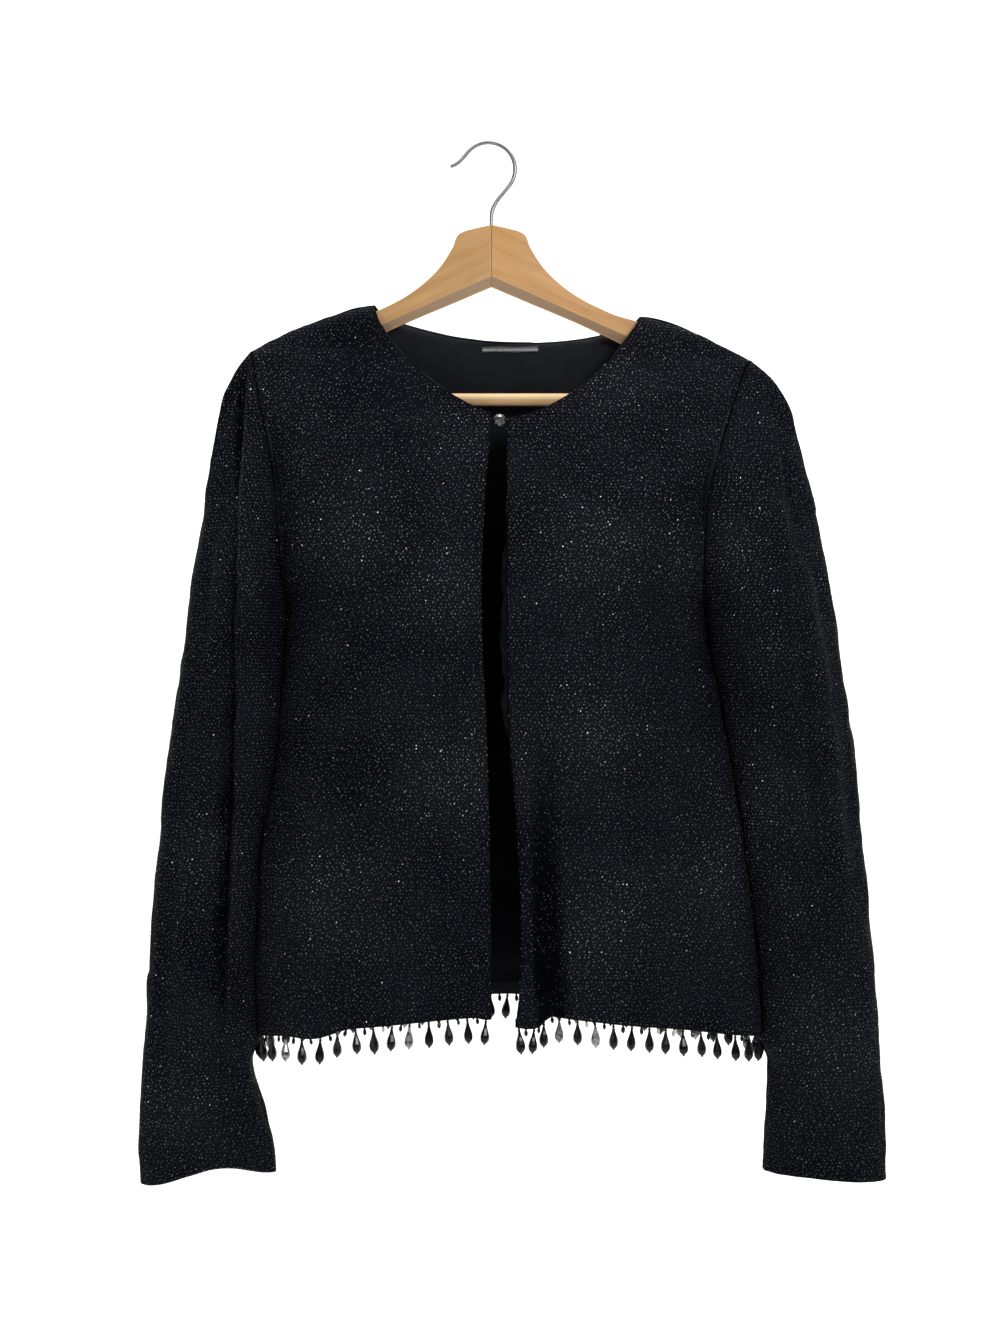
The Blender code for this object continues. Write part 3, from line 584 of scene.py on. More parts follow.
class Finish:
    """A Principled material whose nodes are added by name."""

    def __init__(self, name, **constants):
        self.material = bpy.data.materials.new(name)
        self.material.use_nodes = True
        self.tree = self.material.node_tree
        self.shader = self.tree.nodes["Principled BSDF"]
        self.give(**constants)

    def connect(self, place, term):
        if isinstance(term, Value):
            self.tree.links.new(term.socket, place)
        else:
            place.default_value = term

    def node(self, kind, settings=None, values=None, out=0):
        """Adds a node, with its settings first and then its sockets' values or links; gives one output."""
        made = self.tree.nodes.new("ShaderNode" + kind)
        for setting, value in (settings or {}).items():
            setattr(made, setting, value)
        for socket, term in (values or {}).items():
            self.connect(made.inputs[socket], term)
        return Value(self, made.outputs[out])

    def place(self, scale=(1, 1, 1), turn=(0, 0, 0)):
        """Places on the piece, first turned and then stretched."""
        here = self.node("TexCoord", out="Object")
        turned = self.node("Mapping", {}, {"Vector": here, "Rotation": turn})
        return self.node("Mapping", {}, {"Vector": turned, "Scale": scale})

    def noise(self, where, scale=1.0, detail=2.0, rough=0.5):
        values = {"Vector": where, "Scale": scale, "Detail": detail, "Roughness": rough}
        return self.node("TexNoise", {}, values)

    def twill(self, where, scale, distortion):
        """Fine slanting bands."""
        settings = {"wave_type": "BANDS", "bands_direction": "DIAGONAL"}
        values = {"Vector": where, "Scale": scale, "Distortion": distortion}
        return self.node("TexWave", settings, values, out="Fac")

    def height_of(self, where):
        return self.node("SeparateXYZ", {}, {"Vector": where}, out="Z")

    def blend(self, share, first, second):
        """A mix of two colours, each a tuple or a socket."""
        first = (*first, 1) if isinstance(first, tuple) else first
        second = (*second, 1) if isinstance(second, tuple) else second
        return self.node("Mix", {"data_type": "RGBA"}, {0: share, 6: first, 7: second}, out=2)

    def bump(self, height, distance, strength=1.0, under=None):
        values = {"Height": height, "Distance": distance, "Strength": strength}
        if under is not None:
            values["Normal"] = under
        return self.node("Bump", {}, values)

    def give(self, **inputs):
        """Sets or links inputs of the shader."""
        for socket, value in inputs.items():
            self.connect(self.shader.inputs[socket.replace("_", " ")], value)
        return self.material


def glitter_cloth_finish():
    """Matt black cloth, crinkled all over, a faint grey where painted light falls on the glow patches and
    darker where painted shade lies in folds.
    """
    finish = Finish("glitter_cloth", Specular_IOR_Level=0.012)
    here = finish.place()
    patches = finish.noise(here, scale=24.0, detail=3.0).between(0.34, 0.68)
    threads = finish.noise(here, scale=900.0, rough=0.6)
    colour = finish.blend(patches, (0.0020, 0.0022, 0.0038), (0.0040, 0.0043, 0.0064))
    # Painted light and shade: above zero the cloth is lighter on glow patches, below zero darker deep in
    # folds
    painted_light_and_shade = finish.node("Attribute", {"attribute_name": "painted_light_and_shade"}, out="Fac")
    colour = finish.blend(painted_light_and_shade.between(0, 1), colour, (0.0056, 0.0060, 0.0082))
    colour = finish.blend(0.9 * (0 - painted_light_and_shade).between(0, 1), colour, (0.0003, 0.0004, 0.0014))
    crinkles = finish.noise(here, scale=170.0, detail=3.0, rough=0.6)
    crinkle = finish.bump(crinkles, distance=0.0011, strength=0.7)
    nap = finish.bump(threads, distance=0.0003, strength=0.6, under=crinkle)
    return finish.give(Base_Color=colour, Roughness=0.58 + 0.3 * threads, Normal=nap)


def lining_finish():
    """Plain dark satin, with a fine diagonal weave and slack ripples, and painted shade that darkens it below
    the chest.
    """
    finish = Finish("lining_cloth", Specular_IOR_Level=0.04)
    here = finish.place()
    twill = finish.twill(here, scale=420.0, distortion=0.6)
    patches = finish.noise(finish.place((1, 1, 0.35)), scale=60.0)
    colour = finish.blend(patches, (0.0063, 0.0070, 0.0096), (0.0114, 0.0124, 0.0160))
    # Painted shade: darker low in the body, on the lining and the facing alike
    height = finish.height_of(here)
    colour = finish.blend(height.between(*LINING_SHADE_Z), (0.0007, 0.0009, 0.0022), colour)
    ripples = finish.noise(finish.place((1, 1, 0.25)), scale=90.0, detail=1.0)
    slack = finish.bump(ripples, distance=0.0012, strength=0.5)
    weave = finish.bump(twill, distance=0.00008, strength=0.5, under=slack)
    return finish.give(Base_Color=colour, Roughness=0.44 + 0.16 * patches, Normal=weave)


def wood_finish(name, pale, deep, foot, slope):
    """Lacquered wood: streaks along a sloping piece over warm patches, and painted shade on the faces that
    look down.
    """
    finish = Finish(name, Coat_Weight=0.18, Coat_Roughness=0.32, Specular_IOR_Level=0.35)
    turn = (0, slope, 0)
    streaks = finish.noise(finish.place((9, 60, 170), turn), detail=4.0, rough=0.62)
    pores = finish.noise(finish.place((60, 500, 900), turn), rough=0.6)
    patches = finish.noise(finish.place((12, 12, 40), turn))
    colour = finish.blend(streaks.between(0.32, 0.68), deep, pale)
    colour = finish.blend(0.45 * patches.between(0.4, 0.75), colour, tuple(0.8 * c for c in deep))
    colour = finish.blend(0.35 * pores.between(0.58, 0.75), colour, tuple(0.55 * c for c in deep))
    # Painted shade: faces that look down blend towards the piece's underside tone, given as foot
    rise = finish.height_of(finish.node("NewGeometry", out="Normal"))
    under = 1 - rise.between(-0.42, -0.15)
    colour = finish.blend(0.7 * under, colour, foot)
    grain = finish.bump(streaks + 0.5 * pores, distance=0.0002, strength=0.35)
    return finish.give(Base_Color=colour, Roughness=0.42 + 0.18 * streaks, Normal=grain)


def steel_finish():
    finish = Finish("hook_steel", Metallic=1.0, Specular_Tint=(0.4, 0.4, 0.4, 1))
    scuffs = finish.noise(finish.place(), scale=260.0, detail=3.0)
    colour = finish.blend(scuffs, (0.13, 0.13, 0.13), (0.30, 0.30, 0.295))
    return finish.give(Base_Color=colour, Roughness=0.22 + 0.2 * scuffs)


def glass_finish(name, coat, shine, dark, light):
    """Faceted glass with faint clouds in it."""
    finish = Finish(name, Coat_Weight=coat, Coat_Roughness=0.04, Specular_IOR_Level=shine)
    clouds = finish.noise(finish.place(), scale=360.0)
    colour = finish.blend(clouds.between(0.35, 0.65), dark, light)
    return finish.give(Base_Color=colour, Roughness=0.07 + 0.16 * clouds)


def thread_finish(name, dark, light):
    """Twisted thread or cord, seen as fine slanting strands."""
    finish = Finish(name, Specular_IOR_Level=0.08)
    strands = finish.twill(finish.place(), scale=900.0, distortion=1.5)
    twist = finish.bump(strands, distance=0.0001, strength=0.8)
    colour = finish.blend(strands, dark, light)
    return finish.give(Base_Color=colour, Roughness=0.5 + 0.2 * strands, Normal=twist)


def label_finish():
    """Grey woven tape with a painted highlight, a silvery band along its middle."""
    finish = Finish("label_satin", Sheen_Weight=0.2, Specular_IOR_Level=0.5)
    here = finish.node("TexCoord", out="Object")
    height = finish.height_of(here)
    weave = finish.noise(finish.place((1, 1, 3)), scale=700.0)
    # Painted highlight: a lighter band along the tape's middle, mottled by the weave
    lower, upper = (
        height.between(*(LABEL_TOP - LABEL_HEIGHT * down for down in fade)) for fade in LABEL_HIGHLIGHT_FADES
    )
    painted_highlight = lower * (1 - upper) * (0.4 + 0.6 * weave)
    cloth = finish.blend(weave, (0.010, 0.011, 0.011), (0.050, 0.052, 0.052))
    edge = finish.blend(weave.between(0.3, 0.7), (0.10, 0.10, 0.103), (0.46, 0.46, 0.47))
    colour = finish.blend(painted_highlight, cloth, edge)
    ribs = finish.bump(weave, distance=0.00015, strength=0.6)
    return finish.give(Base_Color=colour, Roughness=0.36 + 0.2 * weave, Normal=ribs)


def along(rows, column, height):
    """A column of a table read at heights, on a smooth curve through its rows."""
    heights = np.array([row.height for row in reversed(rows)])
    values = np.array([getattr(row, column) for row in reversed(rows)])
    slopes = np.gradient(values, heights)
    height = np.clip(height, heights[0], heights[-1])
    low = np.clip(np.searchsorted(heights, height) - 1, 0, len(rows) - 2)
    span = heights[low + 1] - heights[low]
    t = (height - heights[low]) / span
    ease = t * t * (3 - 2 * t)
    lift = slopes[low] * t * (1 - t) ** 2 - slopes[low + 1] * t * t * (1 - t)
    return values[low] + (values[low + 1] - values[low]) * ease + span * lift


def smooth_step(value):
    value = np.clip(value, 0.0, 1.0)
    return value * value * (3 - 2 * value)


def bell(value):
    return np.exp(-value * value)


def xyz(x, y, z):
    """Points from their coordinates, each an array or one number."""
    return np.stack(np.broadcast_arrays(x, y, z), axis=-1)


def run_along(line):
    """How far along a line each of its points lies."""
    steps = np.linalg.norm(np.diff(line, axis=0), axis=1)
    return np.concatenate([[0], np.cumsum(steps)])


def bilinear(values, column, row, s, t):
    """A grid's values between its corners, s of the way to the next column and t to the next row."""
    low = values[column, row] * (1 - s) + values[column + 1, row] * s
    high = values[column, row + 1] * (1 - s) + values[column + 1, row + 1] * s
    return low * (1 - t) + high * t


def crumple(across, up, seed):
    """Small uneven swells of crinkled cloth, from smooth random lattices of a few sizes."""
    total = np.zeros(np.broadcast(across, up).shape)
    for step, (size, height) in enumerate(CRUMPLE_SIZES):
        random = np.random.default_rng(seed * 10 + step)
        lattice = random.uniform(-1, 1, (CRUMPLE_CELLS + 1, CRUMPLE_CELLS + 1))
        a, b = across / size + CRUMPLE_SHIFT, up / size + CRUMPLE_SHIFT
        column, row = np.floor(a).astype(int), np.floor(b).astype(int)
        s, t = smooth_step(a - column), smooth_step(b - row)
        total += height * bilinear(lattice, column % CRUMPLE_CELLS, row % CRUMPLE_CELLS, s, t)
    return total


def fold_push(panel, x, height):
    push = np.zeros(np.broadcast(x, height).shape)
    for fold in FOLDS.get(panel, ()):
        share = (fold.top_z - height) / (fold.top_z - fold.bottom_z)
        middle = fold.top_x + (fold.bottom_x - fold.top_x) * share
        fade = smooth_step((fold.top_z - height) / FOLD_FADE)
        push += fold.push * fade * bell((x - middle) / fold.width)
    return push


def armhole_angle(half, height):
    share = (height - half.underarm_z) / (half.shoulder_z - half.underarm_z)
    return np.arccos(2 * np.clip(share, 0.0, 1.0) - 1)


def side_x(half, height):
    seam = along(half.sleeve, "inner", height)
    return np.where(height >= half.underarm_z, seam, along(BODY, half.name + "_side", height))


def shoulder_line(half, x):
    share = (x - half.neck_x) / (half.sleeve[0].outer - half.neck_x)
    seam = half.neck_z + (half.shoulder_z - half.neck_z) * np.clip(share, 0, 1) ** SHOULDER_CURVE
    return np.where(share < 0, half.neck_z + np.abs(x - half.neck_x), seam)


def top_line(half, neck):
    """Height of a panel's upper edge by its x: the neck edge, then the shoulder seam."""
    drop, outer_power, inner_power = neck

    def line(x):
        share = (x - RIGHT.neck_x) / (LEFT.neck_x - RIGHT.neck_x)
        level = RIGHT.neck_z + (LEFT.neck_z - RIGHT.neck_z) * share
        bow = (1 - np.clip(np.abs(2 * share - 1), 0, 1) ** outer_power) ** inner_power
        return np.where((x - half.neck_x) * half.sign < 0, level - drop * bow, shoulder_line(half, x))

    return line


def hem_line(panel):
    """Height of a panel's hem by its x."""

    def line(x):
        height = HEM_HEIGHT - HEM_SIDE_DROP * (np.abs(x - HEM_CENTRE_X) / HEM_HALF_WIDTH) ** HEM_CURVE
        for dip in HEM_DIPS.get(panel, ()):
            inside = (dip.half_width - np.abs(x - dip.x)) / dip.edge
            height = height - dip.drop * smooth_step(0.5 + inside)
        return height

    return line


def front_start(half):
    return lambda height: along(BODY, half.name + "_edge", height)


def back_start(height):
    return (along(BODY, "right_edge", height) + along(BODY, "left_edge", height)) / 2


def panel_x(half, start, across, height):
    first = start(height)
    return first + (side_x(half, height) - first) * np.sin(across * np.pi / 2)


def panel_depth(half, across, x, height):
    below_seam = np.clip((shoulder_line(half, x) - height) / SHOULDER_ARCH_HEIGHT, 0, 1)
    middle = along(BODY, "depth", height) * np.sqrt(1 - (1 - below_seam) ** 2)
    seam = along(half.sleeve, "depth", height) * np.sin(armhole_angle(half, height))
    seam = np.minimum(seam, middle)
    depth = seam + (middle - seam) * np.clip(np.cos(across * np.pi / 2), 0, 1) ** FRONT_FLATNESS
    return np.maximum(depth, SEAM_GAP / 2)


def panel_points(half, start, side, panel, across, height):
    """Points of a front (side -1) or of the back (side 1), with the panel's folds."""
    x = panel_x(half, start, across, height)
    depth = panel_depth(half, np.abs(across), x, height)
    fade = np.clip(np.cos(np.abs(across) * np.pi / 2), 0, 1)
    depth = depth + fade * fold_push(panel, x, height)
    return xyz(x, side * depth, height)


def settled(half, start, across, line, height):
    """Height where each column of a panel meets a line given by its x."""
    height = np.full_like(across, height)
    for _ in range(SETTLE_STEPS):
        height = line(panel_x(half, start, across, height))
    return height


def panel_shares(half, start, columns):
    first = start(half.neck_z)
    reach = (half.neck_x - first) / (side_x(half, half.neck_z) - first)
    neck = math.asin(reach) * 2 / math.pi
    inside = round(columns * neck)
    within = np.linspace(0, neck, inside, endpoint=False)
    return np.concatenate([within, np.linspace(neck, 1, columns - inside)])


def panel_heights(hem, top):
    plain = hem[:, None] + (top - SHOULDER_ARCH_HEIGHT - hem)[:, None] * np.linspace(0, 1, PLAIN_ROWS)
    angles = np.linspace(0, math.pi / 2, ARCH_ROWS + 1)[1:]
    arch = top[:, None] - SHOULDER_ARCH_HEIGHT * (1 - np.sin(angles))
    return np.concatenate([plain, arch], axis=1)


def half_panel(half, start, side, panel, neck, columns):
    across = panel_shares(half, start, columns)
    hem = settled(half, start, across, hem_line(panel), HEM_HEIGHT)
    top = settled(half, start, across, top_line(half, neck), half.neck_z)
    heights = panel_heights(hem, top)
    return panel_points(half, start, side, panel, across[:, None], heights)


def front_grid(half):
    return half_panel(half, front_start(half), -1, half.name + "_front", FRONT_NECK[half.name], FRONT_COLUMNS)


def back_grid():
    right = half_panel(RIGHT, back_start, 1, "back", BACK_NECK, BACK_HALF_COLUMNS)
    left = half_panel(LEFT, back_start, 1, "back", BACK_NECK, BACK_HALF_COLUMNS)
    return np.concatenate([right[:0:-1], left])


def beside_body(half, height):
    """How far a sleeve's inner edge moves so that it lies against the body between underarm and hem."""
    side = along(BODY, half.name + "_side", height) - half.sign * SLEEVE_PRESS
    apart = (side - along(half.sleeve, "inner", height)) * half.sign
    below = smooth_step(1 + (half.underarm_z - height) / SLEEVE_MEETS_WITHIN)
    above_hem = smooth_step((height - SLEEVE_LEAVES_BODY_Z) / SLEEVE_LEAVES_WITHIN)
    return np.minimum(apart, 0) * below * above_hem


def pleat_drop(pleat, sign, x, y, height):
    """How far a pleat draws a sleeve's point in towards the arm."""
    out = (x - np.interp(height, pleat.heights, pleat.places)) * sign
    drop = pleat.step * smooth_step(0.5 + out / PLEAT_EDGE) * np.exp(-np.maximum(out, 0) / pleat.recover)
    ridge = pleat.ridge * bell((out + RIDGE_WIDTH) / RIDGE_WIDTH)
    ends = smooth_step((pleat.heights[-1] - height) / PLEAT_ENDS[0])
    ends = ends * smooth_step((height - pleat.heights[0]) / PLEAT_ENDS[1])
    drop = np.minimum(drop - ridge, np.abs(y) * PLEAT_MOST)
    return drop * ends * smooth_step(pleat.side * y / PLEAT_SIDE_FADE)


def sleeve_points(half, angle, height):
    outer = along(half.sleeve, "outer", height)
    inner = along(half.sleeve, "inner", height) + half.sign * beside_body(half, height)
    open_cosine = np.cos(armhole_angle(half, height))
    reach = (np.cos(angle) - open_cosine) / np.maximum(1 - open_cosine, TINY)
    depth = along(half.sleeve, "depth", height) * np.sin(angle)
    push = np.zeros_like(height)
    for fold in SLEEVE_FOLDS[half.name]:
        near_end = np.minimum(fold.top_z - height, height - fold.bottom_z)
        turn = (np.degrees(angle) - fold.angle) / fold.width
        push = push + fold.push * smooth_step(near_end / FOLD_FADE) * bell(turn)
    x = inner + (outer - inner) * reach + half.sign * (ARMHOLE_GAP + push * np.cos(angle))
    y = -depth - push * np.sin(angle)
    for pleat in PLEATS[half.name]:
        y = y - pleat.side * pleat_drop(pleat, half.sign, x, y, height)
    return xyz(x, y, height)


def sleeve_grid(half):
    angle = np.radians(np.linspace(-180, 180, SLEEVE_COLUMNS, endpoint=False))[:, None]
    outer_share = (1 + np.cos(angle)) / 2
    top = half.underarm_z + (half.shoulder_z - half.underarm_z) * outer_share
    cuff = half.cuff_inner_z + (half.cuff_outer_z - half.cuff_inner_z) * outer_share
    off_arch = (np.abs(np.degrees(angle)) - CUFF_ARCH_ANGLE) / CUFF_ARCH_SPREAD
    cuff = cuff + half.cuff_arch * bell(off_arch)
    shares = np.linspace(0, 1, SLEEVE_RINGS) ** SLEEVE_RING_CROWDING
    return sleeve_points(half, angle, top + (cuff - top) * shares)


def grid_normals(points, wraps=False):
    """Unit normals of a grid of points, facing away from the garment's inside."""
    if wraps:
        ahead = np.roll(points, -1, axis=0) - np.roll(points, 1, axis=0)
    else:
        ahead = np.gradient(points, axis=0)
    normals = np.cross(ahead, np.gradient(points, axis=1))
    normals /= np.maximum(np.linalg.norm(normals, axis=2, keepdims=True), TINY)
    middle = points.mean(axis=(0, 1)) if wraps else np.array((0.0, 0.0, points[..., 2].mean()))
    outward = np.sign(np.median(((points - middle) * normals)[..., :2].sum(axis=2)))
    return normals * outward


def new_mesh(name, points, faces):
    mesh = bpy.data.meshes.new(name)
    mesh.from_pydata(points, [], faces)
    mesh.update()
    return mesh


def smooth_but(mesh, crease):
    """Shades a mesh smooth, apart from edges that turn by more than an angle."""
    mesh.shade_smooth()
    mesh.set_sharp_from_angle(angle=crease)


def put_in_scene(name, content, *materials):
    """A new object in the scene, of a curve, lamp or camera, or of a mesh with its materials."""
    for material in materials:
        content.materials.append(material)
    piece = bpy.data.objects.new(name, content)
    bpy.context.scene.collection.objects.link(piece)
    return piece


def add_grid(name, points, materials, wraps=False, wall=CLOTH_WALL):
    """A sheet through a grid of points, with its wall on the inner side."""
    columns, rows = points.shape[:2]
    corner = np.arange(columns * rows).reshape(columns, rows)
    after = np.roll(corner, -1, axis=0) if wraps else corner[1:]
    corner = corner if wraps else corner[:-1]
    faces = np.stack([corner[:, :-1], after[:, :-1], after[:, 1:], corner[:, 1:]], axis=-1).reshape(-1, 4)
    middle = faces[len(faces) // 2]
    here, across, _, up = points.reshape(-1, 3)[middle]
    outward = grid_normals(points, wraps).reshape(-1, 3)[middle[0]]
    if np.cross(across - here, up - here) @ outward < 0:
        faces = faces[:, ::-1]
    mesh = new_mesh(name, points.reshape(-1, 3), faces)
    smooth_but(mesh, SHARP_RIM)
    piece = put_in_scene(name, mesh, *materials)
    solidify = piece.modifiers.new("wall", "SOLIDIFY")
    solidify.thickness = wall
    solidify.offset = -1
    solidify.material_offset = len(materials) - 1
    return piece


def stand_for(piece, slot, *nodes):
    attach(piece, BODY_NAME)
    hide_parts(*nodes)
    return piece


def surface_measure(points, wraps=False):
    """A grid's longest runs across and along, and its area."""
    ring = np.concatenate([points, points[:1]]) if wraps else points
    across = np.linalg.norm(np.diff(ring, axis=0), axis=2).sum(axis=0)
    up = np.linalg.norm(np.diff(points, axis=1), axis=2).sum(axis=1)
    a = ring[1:, :-1] - ring[:-1, :-1]
    b = ring[:-1, 1:] - ring[:-1, :-1]
    area = np.linalg.norm(np.cross(a, b), axis=2).sum()
    return across.max(), up.max(), area


def back_shares():
    right = panel_shares(RIGHT, back_start, BACK_HALF_COLUMNS)
    left = panel_shares(LEFT, back_start, BACK_HALF_COLUMNS)
    return np.concatenate([-right[:0:-1], left])


def crease_push(panel, x, height):
    """How far the creases of a panel lift a point: each is a soft line with tapered ends."""
    push = np.zeros(np.broadcast(x, height).shape)
    for crease in CREASES.get(panel, ()):
        run_x, run_z = crease.bottom_x - crease.top_x, crease.bottom_z - crease.top_z
        length = math.hypot(run_x, run_z)
        share = ((x - crease.top_x) * run_x + (height - crease.top_z) * run_z) / length**2
        bow = crease.bow * np.sin(np.clip(share, 0, 1) * np.pi)
        off = ((x - crease.top_x) * run_z - (height - crease.top_z) * run_x) / length - bow
        ends = smooth_step(share / CREASE_TAPER) * smooth_step((1 - share) / CREASE_TAPER)
        push += crease.push * ends * bell(off / crease.width)
    return push


def state_cut(points, wraps=False):
    width, length, area = surface_measure(points, wraps)


def turned_in(points, side, sign=0):
    """A panel with its top edge turned in, and its side edge too where a sign gives that side."""
    rim = points[:, -1:] + np.array((0, -side * TURN_RIM, 0))
    top = points[:, -1:] + np.array((0, -side * TURN_IN, -TURN_DOWN))
    points = np.concatenate([points, rim, top], axis=1)
    if sign:
        edge = points[-1:] + np.array((-sign * TURN_DOWN, -side * TURN_IN, 0))
        points = np.concatenate([points, edge])
    return points


def tucked_cap(half, points):
    """A sleeve whose cap edge is tucked behind the armhole edge of the body."""
    edge = points[:, :1] * (1, CAP_TUCK, 1) + np.array((-half.sign * TURN_RIM, 0, -TURN_RIM))
    return np.concatenate([edge, points], axis=1)


def panel_surface(name, points, seed, wraps=False):
    """A piece's grid with its creases and its crinkle, calm towards its seams."""
    x, y, height = np.moveaxis(points, -1, 0)
    column = np.arange(len(points))[:, None]
    if wraps:
        front = smooth_step(0.5 - y / SLEEVE_SIDE_BLEND)
        calm = smooth_step(np.arange(points.shape[1])[None] / CALM_CAP_RINGS)
        lift = front * crease_push(name, x, height) + (1 - front) * crease_push(name + "_back", x, height)
        lift = lift * calm
        across = column * SLEEVE_STEP
    else:
        side = smooth_step((len(points) - 1 - column) / CALM_SIDE_COLUMNS)
        start = smooth_step(column / (CALM_SIDE_COLUMNS if name == "back" else CALM_COLUMNS))
        calm = side * start
        lift = crease_push(name, x, height) * (calm if name == "back" else side)
        across = x
    swell = SLEEVE_SWELL if wraps else 1
    lift = lift + calm * swell * crumple(across, height, seed)
    return points + grid_normals(points, wraps) * lift[..., None]


def fold_depth(points, wraps=False):
    """How deep in a fold each point of a grid lies, from 0 to 1, by its sag behind its neighbours; the cloth
    and its studs take it as painted shade.
    """
    column = np.arange(len(points))
    ends = "wrap" if wraps else "clip"
    before, after = (points.take(column + step, 0, mode=ends) for step in (-FOLD_REACH, FOLD_REACH))
    sag = (((before + after) / 2 - points) * grid_normals(points, wraps)).sum(axis=2)
    return smooth_step((sag - FOLD_SAG[0]) / (FOLD_SAG[1] - FOLD_SAG[0]))


def with_valley(half, points):
    """A surface that sinks towards the armhole seam over the seam's lower part."""
    x, depth, height = np.moveaxis(points, -1, 0)
    seam = along(half.sleeve, "inner", height)
    deep = smooth_step((VALLEY_TOP_Z[half.name] - height) / VALLEY_FADE)
    deep = deep * smooth_step((height - half.underarm_z + VALLEY_FADE) / VALLEY_FADE)
    sink = VALLEY_DEPTH * deep * bell((x - seam) / VALLEY_WIDTH)
    depth = depth - np.sign(depth) * np.minimum(sink, np.abs(depth) / 2)
    return xyz(x, depth, height)


def add_cloth(cloth, lining):
    """The five cut pieces of glitter cloth; gives each one's surface by its node."""
    grids = {half.name + "_front": with_valley(half, front_grid(half)) for half in (RIGHT, LEFT)}
    grids["back"] = with_valley(RIGHT, with_valley(LEFT, back_grid()))
    grids.update({half.name + "_sleeve": with_valley(half, sleeve_grid(half)) for half in (RIGHT, LEFT)})
    surfaces = {}
    for seed, (node, grid) in enumerate(grids.items(), start=1):
        half = LEFT if node.startswith("left") else RIGHT
        wraps = node.endswith("sleeve")
        surfaces[node] = points = panel_surface(node, grid, seed, wraps)
        if wraps:
            points = tucked_cap(half, points)
        elif node == "back":
            points = turned_in(points, 1)
        else:
            points = turned_in(points, -1, half.sign)
        # Painted shade: depth in folds, and a set shade on a sleeve's tucked cap edge
        shade = fold_depth(points, wraps)
        if wraps:
            shade[:, 0] = SEAM_SHADE
        glow = np.maximum(glow_at(points.reshape(-1, 3)), 0)
        piece = add_grid(node + "_cloth", points, (cloth, lining), wraps)
        # Painted light on glow patches, less painted shade in folds, kept on the mesh for the cloth's colour
        painted_light_and_shade = piece.data.attributes.new("painted_light_and_shade", "FLOAT", "POINT")
        painted_light_and_shade.data.foreach_set("value", glow * (1 - shade.ravel()) - shade.ravel())
        stand_for(piece, "glitter_cloth", node)
        state_cut(points, wraps)
    return surfaces


def mesh_of_curve(name, curve, turn=(0, 0, 0), place=(0, 0, 0)):
    """A closed mesh of a curve's tube or filled outline, with its turn and place worked in."""
    form = put_in_scene(name + "_curve", curve)
    form.rotation_euler = turn
    form.location = place
    bpy.context.view_layer.update()
    seen = form.evaluated_get(bpy.context.evaluated_depsgraph_get())
    mesh = bpy.data.meshes.new_from_object(seen)
    mesh.transform(form.matrix_world)
    mesh.name = name
    bpy.data.objects.remove(form)
    bpy.data.curves.remove(curve)
    work = bmesh.new()
    work.from_mesh(mesh)
    bmesh.ops.remove_doubles(work, verts=work.verts, dist=TINY)
    bmesh.ops.recalc_face_normals(work, faces=work.faces)
    work.to_mesh(mesh)
    work.free()
    smooth_but(mesh, CURVE_CREASE)
    return mesh


def tube_curve(name, route, radius, radii=None):
    curve = bpy.data.curves.new(name, "CURVE")
    curve.dimensions = "3D"
    curve.bevel_depth = radius
    curve.bevel_resolution = TUBE_FACETS
    curve.use_fill_caps = True
    spline = curve.splines.new("POLY")
    spline.points.add(len(route) - 1)
    for index, (point, place) in enumerate(zip(spline.points, route)):
        point.co = (*place, 1)
        point.radius = radii[index] if radii is not None else 1.0
    return curve


def rounded_route(route, rounds):
    """A route with its corners cut again and again, so that it bends smoothly."""
    route = np.array(route, float)
    for _ in range(rounds):
        near = route[:-1] * (1 - CORNER_CUT) + route[1:] * CORNER_CUT
        far = route[:-1] * CORNER_CUT + route[1:] * (1 - CORNER_CUT)
        middle = np.stack([near, far], axis=1).reshape(-1, 3)
        route = np.concatenate([route[:1], middle, route[-1:]])
    return route


def bevel_foot(half, mesh):
    """Slants the lower edges of an arm back, so that its foot is a face of its own."""
    apex = Vector((HANGER_X, 0, ARM_FOOT_Z))
    upward = Vector((half.sign * ARM_FOOT_SLOPE, 0, 1)).normalized()
    work = bmesh.new()
    work.from_mesh(mesh)
    everything = work.verts[:] + work.edges[:] + work.faces[:]
    bmesh.ops.bisect_plane(work, geom=everything, plane_co=apex, plane_no=upward)
    for vertex in work.verts:
        below = (vertex.co - apex).dot(upward) < -ARM_EDGE_ROUNDING
        if below and abs(vertex.co.x - HANGER_X) < ARM_FOOT_REACH:
            vertex.co.y *= ARM_FOOT_THIN
    work.to_mesh(mesh)
    work.free()
    smooth_but(mesh, ARM_CREASE)


